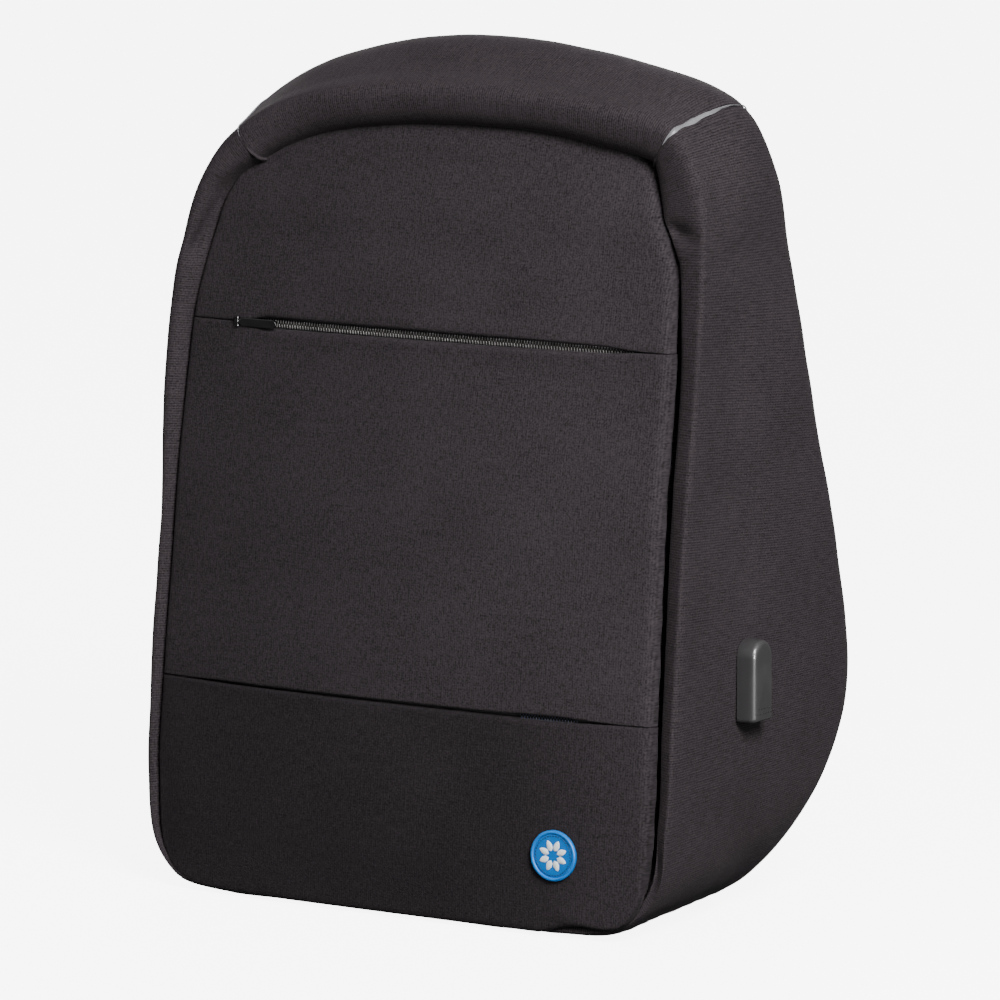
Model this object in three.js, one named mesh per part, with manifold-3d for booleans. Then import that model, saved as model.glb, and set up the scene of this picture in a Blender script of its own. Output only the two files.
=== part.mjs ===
// Laptop backpack with a padded rim, a front of three panels and a hood over the top.
// Units are millimetres. +Z is up, -Y is the front and +X is the right side seen from the front.
// The origin is in the middle of the flat base, on the surface that the bag stands on.
import * as THREE from "three";
import Module from "manifold-3d";
import { mergeVertices } from "three/addons/utils/BufferGeometryUtils.js";

const wasm = await Module();
wasm.setup();

// Driving dimensions of the bag
const HALF_WIDTH = 170;
const RIM_HEIGHT = 441;
const BACK_HEIGHT = 447;
const DEPTH = 206;
const FRONT_LEAN = 0.0963;
const BASE_CENTRE = 70;
const CLEAR = 0.3;

// Padded walls
const WALL = 5;
const RIM_WIDTH = 20;
const RIM_SHOULDER = 15;
const FRONT_PAD = 6;
const FRONT_RECESS = 17;
const FRONT_CROWN = 10;
const HOOD_RISE = 17;
const BACK_CORNER = 26;
const BACK_PAD = 10;
const BACK_CROWN = 8;

// Zips
const UPPER_ZIP_HEIGHT = 306;
const LOWER_ZIP_HEIGHT = 114;
const SLIT = 6;
const LOWER_SLIT = 2.4;
const COIL_WIDTH = 4.6;
const COIL_THICK = 1.8;
const TAPE_WIDTH = 18;
const TAPE_THICK = 1;
const ZIP_END = 8;
const SLIDER_INSET = 47;
const SLIDER_LENGTH = 13;
const SLIDER_HEIGHT = 5.2;
const SLIDER_THICK = 2.6;
const LUG_THICK = 1;
const LUG_RADIUS = 1.7;
const PIN_RADIUS = 0.6;
const PULL_LENGTH = 27;
const PULL_HEIGHT = 4.6;
const PULL_THICK = 1.5;
const MAIN_ZIP_WIDTH = 8;
const MAIN_ZIP_THICK = 3;

// Charging port on the right side
const PORT_DEPTH_AT = 80;
const PORT_BOTTOM = 107;
const PORT_WIDTH = 19;
const PORT_HEIGHT = 47;
const PORT_THICK = 12;
const PORT_SOCKET_WIDTH = 13;
const PORT_SOCKET_THICK = 6.5;
const PORT_SOCKET_DEPTH = 16;

// Badge, reflective strips and carrying gear
const BADGE_INSET = 66;
const BADGE_HEIGHT = 44;
const BADGE_RADIUS = 13.5;
const BADGE_THICK = 1.6;
const BADGE_RIM = 2.2;
const BADGE_RIM_RISE = 0.6;
const STRIP_WIDTH = 3;
const STRIP_THICK = 0.8;
const STRAP_WIDTH = 60;
const STRAP_THICK = 11;
const ADJUSTER_WIDTH = 34;
const ADJUSTER_LENGTH = 26;
const ADJUSTER_THICK = 5;
const ADJUSTER_BAR = 3.5;
const ADJUSTER_SLOT = 6;
const WEBBING_WIDTH = 25;
const WEBBING_THICK = 2;
const HANDLE_WIDTH = 20;
const HANDLE_THICK = 6;
const HANDLE_SPAN = 48;
const HANDLE_DROP = 49;

// Sections lofted between two rows of a table
const STEPS = 3;

// Turns rows of values under named columns into objects.
function table(columns, ...rows) {
  return rows.map((row) => Object.fromEntries(columns.map((column, i) => [column, row[i]])));
}

// Stations round the bag seen from the front, from the middle of the base up the right side,
// over the top and down the left side. frontX and backX are shares of the half width, frontZ of
// the rim's height, backZ of the back's height and backY of the depth. rim and corner are shares
// of the rim's width and the back corner's radius, bulge is a share of the hood's rise.
const STATIONS = table(
  ["name", "frontX", "frontZ", "rim", "backX", "backY", "backZ", "corner", "bulge"],
  ["base_middle", 0, 0, 0.36, 0, 0.85, 0, 1.9, 0],
  ["base_right", 0.58, 0, 0.36, 0.53, 0.84, 0, 1.85, 0],
  ["toe_right", 0.83, 0.012, 0.36, 0.72, 0.82, 0.02, 1.6, 0],
  ["foot_right", 0.955, 0.056, 0.42, 0.87, 0.84, 0.075, 1.35, 0],
  ["low_right", 0.99, 0.135, 0.5, 0.955, 0.922, 0.15, 1.1, 0.05],
  ["pocket_right", 0.995, 0.2585, 0.62, 0.98, 1, 0.255, 1, 0.12],
  ["side_right", 0.995, 0.455, 0.75, 0.98, 0.94, 0.425, 1, 0.15],
  ["zip_right", 1, 0.69, 0.85, 0.96, 0.8, 0.655, 1, 0.15],
  ["shoulder_right", 0.99, 0.8, 0.95, 0.945, 0.74, 0.78, 1, 0.2],
  ["bend_right", 0.965, 0.89, 1.15, 0.935, 0.68, 0.88, 0.95, 0.35],
  ["corner_right", 0.86, 0.958, 1.15, 0.845, 0.63, 0.948, 0.9, 0.6],
  ["hood_right", 0.6, 0.985, 1, 0.6, 0.61, 0.98, 0.9, 0.75],
  ["top_middle", 0, 1, 1, 0, 0.61, 1, 0.9, 1],
  ["hood_left", -0.54, 0.975, 1, -0.56, 0.61, 0.972, 0.9, 0.78],
  ["corner_left", -0.77, 0.93, 0.95, -0.8, 0.62, 0.93, 0.9, 0.6],
  ["bend_left", -0.905, 0.873, 0.85, -0.9, 0.68, 0.87, 0.95, 0.35],
  ["shoulder_left", -0.975, 0.787, 0.75, -0.94, 0.74, 0.78, 1, 0.2],
  ["zip_left", -1.005, 0.69, 0.65, -0.96, 0.8, 0.655, 1, 0.15],
  ["side_left", -0.995, 0.455, 0.45, -0.98, 0.94, 0.425, 1, 0.15],
  ["pocket_left", -0.995, 0.2585, 0.4, -0.98, 1, 0.255, 1, 0.12],
  ["low_left", -0.985, 0.135, 0.38, -0.955, 0.922, 0.15, 1.1, 0.05],
  ["foot_left", -0.945, 0.052, 0.36, -0.87, 0.84, 0.075, 1.35, 0],
  ["toe_left", -0.83, 0.01, 0.36, -0.72, 0.82, 0.02, 1.6, 0],
  ["base_left", -0.62, 0, 0.36, -0.53, 0.84, 0, 1.85, 0],
);
const STATION = Object.fromEntries(STATIONS.map((row, i) => [row.name, i]));

// How far the front panels lie behind the rim and how far they are crowned, by height.
const FRONT_FORM = table(
  ["height", "recess", "crown"],
  [0, 0, 0.4],
  [0.13, 0.03, 1],
  [0.26, 0.08, 0.95],
  [0.46, 0.16, 0.9],
  [0.69, 0.4, 0.65],
  [0.82, 0.68, 0.4],
  [0.92, 0.95, 0.15],
  [1, 1, 0],
);

function closedCurve(points) {
  return new THREE.CatmullRomCurve3(points, true, "centripetal");
}

const frontLoop = closedCurve(
  STATIONS.map((s) => {
    const z = s.frontZ * RIM_HEIGHT;
    return new THREE.Vector3(s.frontX * HALF_WIDTH, z * FRONT_LEAN, z);
  }),
);
const backLoop = closedCurve(
  STATIONS.map((s) => new THREE.Vector3(s.backX * HALF_WIDTH, s.backY * DEPTH, s.backZ * BACK_HEIGHT)),
);
const sizeLoop = closedCurve(
  STATIONS.map((s) => new THREE.Vector3(s.rim * RIM_WIDTH, s.corner * BACK_CORNER, s.bulge * HOOD_RISE)),
);

// Share of the way round at a station, which may lie between two rows.
function share(station) {
  const count = STATIONS.length;
  return (((station % count) + count) % count) / count;
}

function smoothColumn(rows, key, value, column) {
  const last = rows.length - 1;
  let i = 0;
  while (i < last - 1 && value > rows[i + 1][key]) i += 1;
  const [a, b] = [rows[i], rows[i + 1]];
  const part = THREE.MathUtils.smoothstep(value, a[key], b[key]);
  return THREE.MathUtils.lerp(a[column], b[column], part);
}

const recessAt = (z) => FRONT_RECESS * smoothColumn(FRONT_FORM, "height", z / RIM_HEIGHT, "recess");
const crownAt = (z) => FRONT_CROWN * smoothColumn(FRONT_FORM, "height", z / RIM_HEIGHT, "crown");

// Outward normal of a loop in the XZ plane.
function outward(loop, station) {
  const step = 0.05;
  const ahead = loop.getPoint(share(station + step));
  const behind = loop.getPoint(share(station - step));
  return new THREE.Vector3(ahead.z - behind.z, 0, behind.x - ahead.x).normalize();
}

// The bag's cross-section frame at a station: everything that a section needs.
function sectionAt(station) {
  const at = share(station);
  const sizes = sizeLoop.getPoint(at);
  const front = frontLoop.getPoint(at);
  const back = backLoop.getPoint(at);
  front.z = Math.max(front.z, 0);
  back.z = Math.max(back.z, 0);
  return {
    front,
    back,
    frontNormal: outward(frontLoop, station),
    backNormal: outward(backLoop, station),
    rim: sizes.x,
    corner: sizes.y,
    bulge: Math.max(sizes.z, 0),
    lip: recessAt(front.z) + FRONT_PAD,
  };
}

// A point of a section, from its distance inward from the outer face and its depth.
function place(section, inward, y) {
  const run = section.back.y - section.front.y;
  const along = (y - section.front.y) / run;
  const part = THREE.MathUtils.clamp(along, 0, 1);
  const point = section.front.clone().lerp(section.back, part);
  const normal = section.frontNormal.clone().lerp(section.backNormal, part).normalize();
  const rising = THREE.MathUtils.clamp((y - section.front.y - RIM_SHOULDER) / (run - RIM_SHOULDER), 0, 1);
  point.addScaledVector(normal, section.bulge * Math.sin(Math.PI * rising) - inward);
  point.y = y;
  return point;
}

// Closed outline of the wall's section as [inward, y] pairs: rim roll, outer face, back corner,
// then back along the inside.
function wallOutline(section) {
  const { front, back, rim, corner, lip } = section;
  const outline = [];
  const half = rim / 2;
  const rollSteps = 6;
  for (let i = 0; i <= rollSteps; i += 1) {
    const angle = (Math.PI * i) / rollSteps;
    const depth = angle < Math.PI / 2 ? lip : RIM_SHOULDER;
    outline.push([half + half * Math.cos(angle), front.y + depth * (1 - Math.sin(angle))]);
  }
  const faceStart = front.y + RIM_SHOULDER;
  const faceEnd = back.y - corner;
  const faceSteps = 4;
  for (let i = 1; i < faceSteps; i += 1) {
    outline.push([0, THREE.MathUtils.lerp(faceStart, faceEnd, i / faceSteps)]);
  }
  const cornerSteps = 4;
  for (let i = 0; i <= cornerSteps; i += 1) {
    const angle = (Math.PI / 2) * (i / cornerSteps);
    outline.push([corner * (1 - Math.cos(angle)), faceEnd + corner * Math.sin(angle)]);
  }
  const inner = corner - WALL;
  for (let i = cornerSteps; i >= 0; i -= 1) {
    const angle = (Math.PI / 2) * (i / cornerSteps);
    outline.push([corner - inner * Math.cos(angle), faceEnd + inner * Math.sin(angle)]);
  }
  const innerStart = front.y + lip;
  for (let i = faceSteps - 1; i >= 0; i -= 1) {
    outline.push([WALL, THREE.MathUtils.lerp(innerStart, faceEnd, i / faceSteps)]);
  }
  return outline;
}

// Joins rings of points into one closed solid; the caps are cut from the flat outlines.
function loft(rings, outlines) {
  const count = rings[0].length;
  const vertices = rings.flat();
  const triangles = [];
  for (let r = 0; r + 1 < rings.length; r += 1) {
    for (let i = 0; i < count; i += 1) {
      const a = r * count + i;
      const b = r * count + ((i + 1) % count);
      triangles.push([a, b, b + count], [a, b + count, a + count]);
    }
  }
  const cap = (ring, outline, flip) => {
    const flat = outline.map(([x, y]) => new THREE.Vector2(x, y));
    for (const [a, b, c] of THREE.ShapeUtils.triangulateShape(flat, [])) {
      const offset = ring * count;
      triangles.push(flip ? [offset + a, offset + c, offset + b] : [offset + a, offset + b, offset + c]);
    }
  };
  const turning = THREE.ShapeUtils.area(outlines[0].map(([x, y]) => new THREE.Vector2(x, y))) > 0;
  cap(0, outlines[0], turning);
  cap(rings.length - 1, outlines.at(-1), !turning);
  return facesOut(solidGeometry(vertices, triangles));
}

function solidGeometry(vertices, triangles) {
  const geometry = new THREE.BufferGeometry();
  const values = vertices.flatMap((v) => v.toArray());
  geometry.setAttribute("position", new THREE.Float32BufferAttribute(values, 3));
  geometry.setIndex(triangles.flat());
  return geometry;
}

// Turns every face over when the solid is inside out.
function facesOut(geometry) {
  const index = geometry.getIndex();
  const position = geometry.getAttribute("position");
  const corners = [0, 1, 2].map(() => new THREE.Vector3());
  let volume = 0;
  for (let i = 0; i < index.count; i += 3) {
    corners.forEach((corner, k) => corner.fromBufferAttribute(position, index.getX(i + k)));
    volume += corners[0].dot(corners[1].clone().cross(corners[2]));
  }
  if (volume < 0) {
    for (let i = 0; i < index.count; i += 3) {
      const second = index.getX(i + 1);
      index.setX(i + 1, index.getX(i + 2));
      index.setX(i + 2, second);
    }
  }
  return geometry;
}

// Wall piece between two stations, shortened at each end by half the seam's gap.
function wallPiece(from, to) {
  const seam = 0.012;
  const steps = Math.round((to - from) * STEPS);
  const rings = [];
  const outlines = [];
  for (let i = 0; i <= steps; i += 1) {
    const inset = i === 0 ? seam : i === steps ? -seam : 0;
    const section = sectionAt(from + i / STEPS + inset);
    const outline = wallOutline(section);
    outlines.push(outline);
    rings.push(outline.map(([inward, y]) => place(section, inward, y)));
  }
  return loft(rings, outlines);
}

// Edge of the front opening at a station, clear of the rim over the panels' whole thickness.
function openingEdge(station) {
  const section = sectionAt(station);
  const y = section.front.y + section.lip;
  const reach = section.rim + 2 * CLEAR;
  const edges = [y - FRONT_PAD, y].map((depth) => place(section, reach, depth));
  const spread = edges.map((edge) => edge.dot(section.frontNormal));
  const edge = edges[spread[0] < spread[1] ? 0 : 1];
  return new THREE.Vector2(edge.x, edge.z);
}

// Depth of the front face at a point of the front.
function frontDepth(x, z) {
  const across = Math.min(Math.abs(x) / (HALF_WIDTH - RIM_WIDTH / 2), 1);
  return z * FRONT_LEAN + recessAt(z) - crownAt(z) * (1 - across ** 2.4);
}

function stationsBetween(from, to) {
  const steps = Math.round(Math.abs(to - from) * STEPS);
  return Array.from({ length: steps + 1 }, (_, i) => from + ((to - from) * i) / steps);
}

// Padded panel filled in between four edges given as rows of points, all seen from the front.
function frontPanel(bottom, top, left, right) {
  const columns = bottom.length;
  const rows = left.length;
  const grid = [];
  for (let r = 0; r < rows; r += 1) {
    const v = r / (rows - 1);
    for (let c = 0; c < columns; c += 1) {
      const u = c / (columns - 1);
      const point = new THREE.Vector2();
      point.addScaledVector(bottom[c], 1 - v).addScaledVector(top[c], v);
      point.addScaledVector(left[r], 1 - u).addScaledVector(right[r], u);
      point.addScaledVector(bottom[0], -(1 - u) * (1 - v));
      point.addScaledVector(bottom[columns - 1], -u * (1 - v));
      point.addScaledVector(top[0], -(1 - u) * v).addScaledVector(top[columns - 1], -u * v);
      grid.push(point);
    }
  }
  const softness = 1.5;
  const vertices = [];
  for (const back of [0, 1]) {
    grid.forEach((p, i) => {
      const endRow = i < columns || i >= grid.length - columns;
      const edge = endRow || i % columns === 0 || i % columns === columns - 1;
      const y = frontDepth(p.x, p.y) + (back ? FRONT_PAD : edge ? softness : 0);
      vertices.push(new THREE.Vector3(p.x, y, p.y));
    });
  }
  return facesOut(solidGeometry(vertices, slabTriangles(rows, columns)));
}

// Triangles of a slab whose two faces are grids and whose edges are joined all round.
function slabTriangles(rows, columns) {
  const triangles = [];
  const size = rows * columns;
  for (let r = 0; r + 1 < rows; r += 1) {
    for (let c = 0; c + 1 < columns; c += 1) {
      const a = r * columns + c;
      const b = a + 1;
      const d = a + columns;
      const e = d + 1;
      triangles.push([a, b, e], [a, e, d], [size + a, size + e, size + b], [size + a, size + d, size + e]);
    }
  }
  const rim = [];
  for (let c = 0; c < columns; c += 1) rim.push(c);
  for (let r = 1; r < rows; r += 1) rim.push(r * columns + columns - 1);
  for (let c = columns - 2; c >= 0; c -= 1) rim.push((rows - 1) * columns + c);
  for (let r = rows - 2; r > 0; r -= 1) rim.push(r * columns);
  rim.forEach((a, i) => {
    const b = rim[(i + 1) % rim.length];
    triangles.push([b, a, size + a], [b, size + a, size + b]);
  });
  return triangles;
}

// Straight edge across the front between the cut ends of its two sides.
function slitEdge(left, right, columns) {
  return Array.from({ length: columns }, (_, i) => left.clone().lerp(right, i / (columns - 1)));
}

// Point at a height on the line through two points of a side.
function cutAt(a, b, height) {
  return a.clone().lerp(b, (height - a.y) / (b.y - a.y));
}

// Cuts the start of a side off at a height and spreads the points from before the cut behind it.
function cutStart(points, height) {
  const rising = Math.sign(points.at(-1).y - points[0].y);
  let kept = 1;
  while ((points[kept].y - height) * rising <= 0) kept += 1;
  const cut = cutAt(points[kept - 1], points[kept], height);
  for (let i = 0; i < kept; i += 1) points[i] = cut.clone().lerp(points[kept], i / kept);
}

// Side of the opening, with an end cut off at a height where one is given.
function openingSide(stations, low, high) {
  const points = stations.map(openingEdge);
  if (low !== null) cutStart(points, low);
  points.reverse();
  if (high !== null) cutStart(points, high);
  return points.reverse();
}

function frontPanelUpper() {
  const low = UPPER_ZIP_HEIGHT + SLIT / 2;
  const right = openingSide(stationsBetween(STATION.zip_right, STATION.corner_right), low, null);
  const left = openingSide(stationsBetween(STATION.zip_left, STATION.corner_left), low, null);
  const top = stationsBetween(STATION.corner_left, STATION.corner_right).map(openingEdge);
  return frontPanel(slitEdge(left[0], right[0], top.length), top, left, right);
}

function frontPanelMiddle() {
  const low = LOWER_ZIP_HEIGHT + LOWER_SLIT / 2;
  const high = UPPER_ZIP_HEIGHT - SLIT / 2;
  const columns = 15;
  const right = openingSide(stationsBetween(STATION.pocket_right, STATION.zip_right), low, high);
  const left = openingSide(stationsBetween(STATION.pocket_left, STATION.zip_left), low, high);
  const top = slitEdge(left.at(-1), right.at(-1), columns);
  return frontPanel(slitEdge(left[0], right[0], columns), top, left, right);
}

function frontPanelLower() {
  const high = LOWER_ZIP_HEIGHT - LOWER_SLIT / 2;
  const right = openingSide(stationsBetween(STATION.foot_right, STATION.pocket_right), null, high);
  const left = openingSide(stationsBetween(STATION.foot_left, STATION.pocket_left), null, high);
  const bottom = stationsBetween(STATION.foot_left, STATION.foot_right + STATIONS.length).map(openingEdge);
  return frontPanel(bottom, slitEdge(left.at(-1), right.at(-1), bottom.length), left, right);
}

// Padded back: rings drawn in from the walls' back edge to the middle.
function backEdge(station, extra) {
  const section = sectionAt(station);
  return place(section, section.corner + extra, section.back.y);
}

function backPanel() {
  const stations = stationsBetween(0, STATIONS.length).slice(0, -1);
  const margin = MAIN_ZIP_WIDTH + 2 * CLEAR;
  const edge = stations.map((station) => backEdge(station, margin));
  const middle = new THREE.Vector3(0, 0, BACK_HEIGHT * 0.5);
  const shares = [1, 0.85, 0.65, 0.4, 0.18];
  const ring = (part, lift) =>
    edge.map((p) => {
      const point = middle.clone().lerp(p, part);
      const blend = part ** 5;
      point.y = THREE.MathUtils.lerp(spineDepth(point.z) + BACK_CROWN * (1 - part ** 3), p.y, blend) + lift;
      return point;
    });
  const outer = shares.map((part) => ring(part, 0));
  const inner = shares.map((part) => ring(part, -BACK_PAD)).reverse();
  const hub = (lift) => new THREE.Vector3(0, spineDepth(middle.z) + BACK_CROWN + lift, middle.z);
  return facesOut(closedRings([...inner, ...outer], hub(-BACK_PAD), hub(0)));
}

// Depth of the back along its middle line, from the rows of the right side.
function spineDepth(z) {
  const rows = STATIONS.slice(STATION.foot_right, STATION.hood_right);
  const height = THREE.MathUtils.clamp(z / BACK_HEIGHT, rows[0].backZ, rows.at(-1).backZ);
  return DEPTH * smoothColumn(rows, "backZ", height, "backY");
}

// Rings joined one after another, closed by a point at each end.
function closedRings(rings, first, last) {
  const count = rings[0].length;
  const vertices = [...rings.flat(), first, last];
  const start = rings.length * count;
  const triangles = [];
  for (let i = 0; i < count; i += 1) {
    const next = (i + 1) % count;
    for (let r = 0; r + 1 < rings.length; r += 1) {
      const a = r * count + i;
      const b = r * count + next;
      triangles.push([a, b, b + count], [a, b + count, a + count]);
    }
    const end = (rings.length - 1) * count;
    triangles.push([start, next, i], [start + 1, end + i, end + next]);
  }
  return solidGeometry(vertices, triangles);
}

// Strip of the main zip between the walls' back edge and the back, from one side over the top.
function mainZip() {
  const rings = [];
  const outlines = [];
  for (const station of stationsBetween(STATION.pocket_right, STATION.pocket_left)) {
    const section = sectionAt(station);
    const near = section.corner + CLEAR;
    const far = near + MAIN_ZIP_WIDTH;
    const y = section.back.y - 1;
    const outline = [[near, y], [far, y], [far, y - MAIN_ZIP_THICK], [near, y - MAIN_ZIP_THICK]];
    outlines.push(outline);
    rings.push(outline.map(([inward, depth]) => place(section, inward, depth)));
  }
  return loft(rings, outlines);
}

// Reflective strip laid over the seam at a station, tapering at both ends.
function reflectiveStrip(station) {
  const section = sectionAt(station);
  const start = section.front.y + RIM_SHOULDER;
  const end = section.back.y - section.corner;
  const steps = 12;
  const outline = [[-1, 0], [1, 0], [1, 1], [-1, 1]];
  const ahead = sectionAt(station + 0.05);
  const rings = [];
  for (let i = 0; i <= steps; i += 1) {
    const part = i / steps;
    const y = THREE.MathUtils.lerp(start, end, part);
    const layers = [0, 1].map((layer) => place(section, -3 * CLEAR - layer * STRIP_THICK, y));
    const along = place(ahead, 0, y).sub(place(section, 0, y)).normalize();
    const half = (STRIP_WIDTH / 2) * (0.25 + 0.75 * Math.sin(Math.PI * part) ** 0.5);
    rings.push(outline.map(([side, layer]) => layers[layer].clone().addScaledVector(along, side * half)));
  }
  return loft(rings, outline.map(() => outline));
}

// Band of a given width across a path; sides are the directions of its width.
function band(path, sides, width, thick, bevel) {
  const outline = [
    [-width / 2, -thick / 2 + bevel],
    [-width / 2 + bevel, -thick / 2],
    [width / 2 - bevel, -thick / 2],
    [width / 2, -thick / 2 + bevel],
    [width / 2, thick / 2 - bevel],
    [width / 2 - bevel, thick / 2],
    [-width / 2 + bevel, thick / 2],
    [-width / 2, thick / 2 - bevel],
  ];
  const rings = path.map((point, i) => {
    const ahead = path[Math.min(i + 1, path.length - 1)];
    const behind = path[Math.max(i - 1, 0)];
    const along = ahead.clone().sub(behind).normalize();
    const side = sides[i].clone().addScaledVector(along, -sides[i].dot(along)).normalize();
    const up = new THREE.Vector3().crossVectors(side, along);
    return outline.map(([s, t]) => point.clone().addScaledVector(side, s).addScaledVector(up, t));
  });
  return loft(rings, rings.map(() => outline));
}

function mesh(name, geometry, look) {
  const item = new THREE.Mesh(geometry, new THREE.MeshStandardMaterial(look));
  item.name = name;
  return item;
}

// Surface point of a mesh found along a ray, in the bag's own frame.
function surfaceHit(target, from, direction) {
  const material = target.material;
  target.material = new THREE.MeshBasicMaterial({ side: THREE.DoubleSide });
  const hit = new THREE.Raycaster(from, direction).intersectObject(target)[0];
  target.material = material;
  return hit;
}

const FABRIC = { color: 0x39353a, roughness: 0.9, metalness: 0 };
const FRONT_FABRIC = { color: 0x343035, roughness: 0.92, metalness: 0 };
const LINED_BACK = { color: 0x2a282b, roughness: 0.95, metalness: 0 };
const WEBBING = { color: 0x242326, roughness: 0.85, metalness: 0 };
const PLASTIC = { color: 0x2b2b2c, roughness: 0.4, metalness: 0 };
const ZIP_BLACK = { color: 0x19191b, roughness: 0.35, metalness: 0 };
const ZIP_GREY = { color: 0x4a4a4c, roughness: 0.4, metalness: 0.2 };
const ZIP_BLUE = { color: 0x26355c, roughness: 0.5, metalness: 0 };
const RUBBER_BLUE = { color: 0x2a86b8, roughness: 0.55, metalness: 0 };
const RUBBER_RIM = { color: 0x1a9fdc, roughness: 0.5, metalness: 0 };
const REFLECTIVE = { color: 0x9a9a9c, roughness: 0.35, metalness: 0.3 };

const bag = new THREE.Group();

const allRound = STATIONS.length;
const sideRight = mesh("side_panel_right", wallPiece(STATION.toe_right, STATION.corner_right), FABRIC);
const sideLeft = mesh("side_panel_left", wallPiece(STATION.corner_left, STATION.toe_left), FABRIC);
bag.add(sideRight, sideLeft);
bag.add(mesh("top_panel", wallPiece(STATION.corner_right, STATION.corner_left), FABRIC));
bag.add(mesh("base_panel", wallPiece(STATION.toe_left, STATION.toe_right + allRound), FABRIC));
const back = mesh("back_panel", backPanel(), LINED_BACK);
bag.add(back);
bag.add(mesh("front_panel_upper", frontPanelUpper(), FRONT_FABRIC));
bag.add(mesh("front_panel_middle", frontPanelMiddle(), FRONT_FABRIC));
const lower = mesh("front_panel_lower", frontPanelLower(), FRONT_FABRIC);
bag.add(lower);
bag.add(mesh("main_zip", mainZip(), ZIP_BLACK));
for (const side of ["right", "left"]) {
  bag.add(mesh(`reflective_strip_${side}`, reflectiveStrip(STATION[`corner_${side}`]), REFLECTIVE));
}

// Rise of the front face's depth with height at a point.
function frontRise(x, z) {
  const step = 1;
  return (frontDepth(x, z + step) - frontDepth(x, z - step)) / (2 * step);
}

// Zip across the front: a tape behind the slit, lying along the panels, or the coil in the slit.
function slitBand(zip, width, thick, behind, leaning) {
  const left = openingEdge(STATION[`${zip.station}_left`]);
  const right = openingEdge(STATION[`${zip.station}_right`]);
  const steps = 16;
  const path = [];
  const sides = [];
  for (let i = 0; i <= steps; i += 1) {
    const x = THREE.MathUtils.lerp(left.x + ZIP_END, right.x - ZIP_END, i / steps);
    path.push(new THREE.Vector3(x, frontDepth(x, zip.height) + behind, zip.height));
    sides.push(new THREE.Vector3(0, leaning ? frontRise(x, zip.height) : 0, 1).normalize());
  }
  return band(path, sides, width, thick, thick / 4);
}

const upperZip = { station: "zip", height: UPPER_ZIP_HEIGHT };
const lowerZip = { station: "pocket", height: LOWER_ZIP_HEIGHT };
const tapeBehind = FRONT_PAD + TAPE_THICK / 2 + 3 * CLEAR;
const coilBehind = tapeBehind - TAPE_THICK / 2 - 2 * CLEAR - COIL_THICK / 2;
bag.add(mesh("upper_zip_tape", slitBand(upperZip, TAPE_WIDTH, TAPE_THICK, tapeBehind, true), ZIP_BLACK));
bag.add(mesh("upper_zip_coil", slitBand(upperZip, COIL_WIDTH, COIL_THICK, coilBehind, false), ZIP_GREY));
bag.add(mesh("lower_zip_tape", slitBand(lowerZip, TAPE_WIDTH, TAPE_THICK, tapeBehind, true), ZIP_BLUE));

// Frame on the front: x along the front, y into the bag, z up it or straight up in a slit.
function frontFrame(x, z, behind, inSlit) {
  const step = 1;
  const slope = (frontDepth(x + step, z) - frontDepth(x - step, z)) / (2 * step);
  const along = new THREE.Vector3(1, slope, 0).normalize();
  const up = new THREE.Vector3(0, inSlit ? 0 : frontRise(x, z), 1);
  up.addScaledVector(along, -up.dot(along)).normalize();
  const into = new THREE.Vector3().crossVectors(up, along);
  const group = new THREE.Group();
  group.position.set(x, frontDepth(x, z), z).addScaledVector(into, behind);
  group.quaternion.setFromRotationMatrix(new THREE.Matrix4().makeBasis(along, into, up));
  return group;
}

// Solid for joining and cutting.
function toManifold(geometry) {
  const bare = geometry.clone();
  bare.deleteAttribute("normal");
  bare.deleteAttribute("uv");
  const merged = mergeVertices(bare, 1e-4);
  return new wasm.Manifold(
    new wasm.Mesh({
      numProp: 3,
      vertProperties: new Float32Array(merged.getAttribute("position").array),
      triVerts: new Uint32Array(merged.getIndex().array),
    }),
  );
}

function fromManifold(solid) {
  const result = solid.getMesh();
  const geometry = new THREE.BufferGeometry();
  geometry.setAttribute("position", new THREE.BufferAttribute(new Float32Array(result.vertProperties), 3));
  geometry.setIndex(new THREE.BufferAttribute(new Uint32Array(result.triVerts), 1));
  return geometry;
}

function box(sizeX, sizeY, sizeZ, x, y, z) {
  return new THREE.BoxGeometry(sizeX, sizeY, sizeZ).translate(x, y, z);
}

// Round bar along Z.
function barZ(radius, length, x, y) {
  return new THREE.CylinderGeometry(radius, radius, length, 16).rotateX(Math.PI / 2).translate(x, y, 0);
}

// Slider: a body on the coil, two lugs and the pin between them.
const sliderBack = coilBehind - COIL_THICK / 2 - CLEAR;
const pinAhead = SLIDER_THICK + LUG_RADIUS + CLEAR;
function sliderSolid() {
  const body = new THREE.Shape();
  const half = SLIDER_LENGTH / 2;
  const high = SLIDER_HEIGHT / 2;
  body.moveTo(-half, -high * 0.6);
  body.lineTo(-half * 0.2, -high);
  body.lineTo(half, -high);
  body.lineTo(half, high);
  body.lineTo(-half * 0.2, high);
  body.lineTo(-half, high * 0.6);
  const plate = new THREE.ExtrudeGeometry(body, { depth: SLIDER_THICK, bevelEnabled: false });
  plate.rotateX(Math.PI / 2);
  let solid = toManifold(plate);
  for (const side of [-1, 1]) {
    const z = side * (high - LUG_THICK / 2);
    const foot = box(LUG_RADIUS * 2, pinAhead, LUG_THICK, 0, -pinAhead / 2, z);
    solid = solid.add(toManifold(foot));
    solid = solid.add(toManifold(barZ(LUG_RADIUS, LUG_THICK, 0, -pinAhead).translate(0, 0, z)));
  }
  return fromManifold(solid.add(toManifold(barZ(PIN_RADIUS, SLIDER_HEIGHT - LUG_THICK, 0, -pinAhead))));
}

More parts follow.
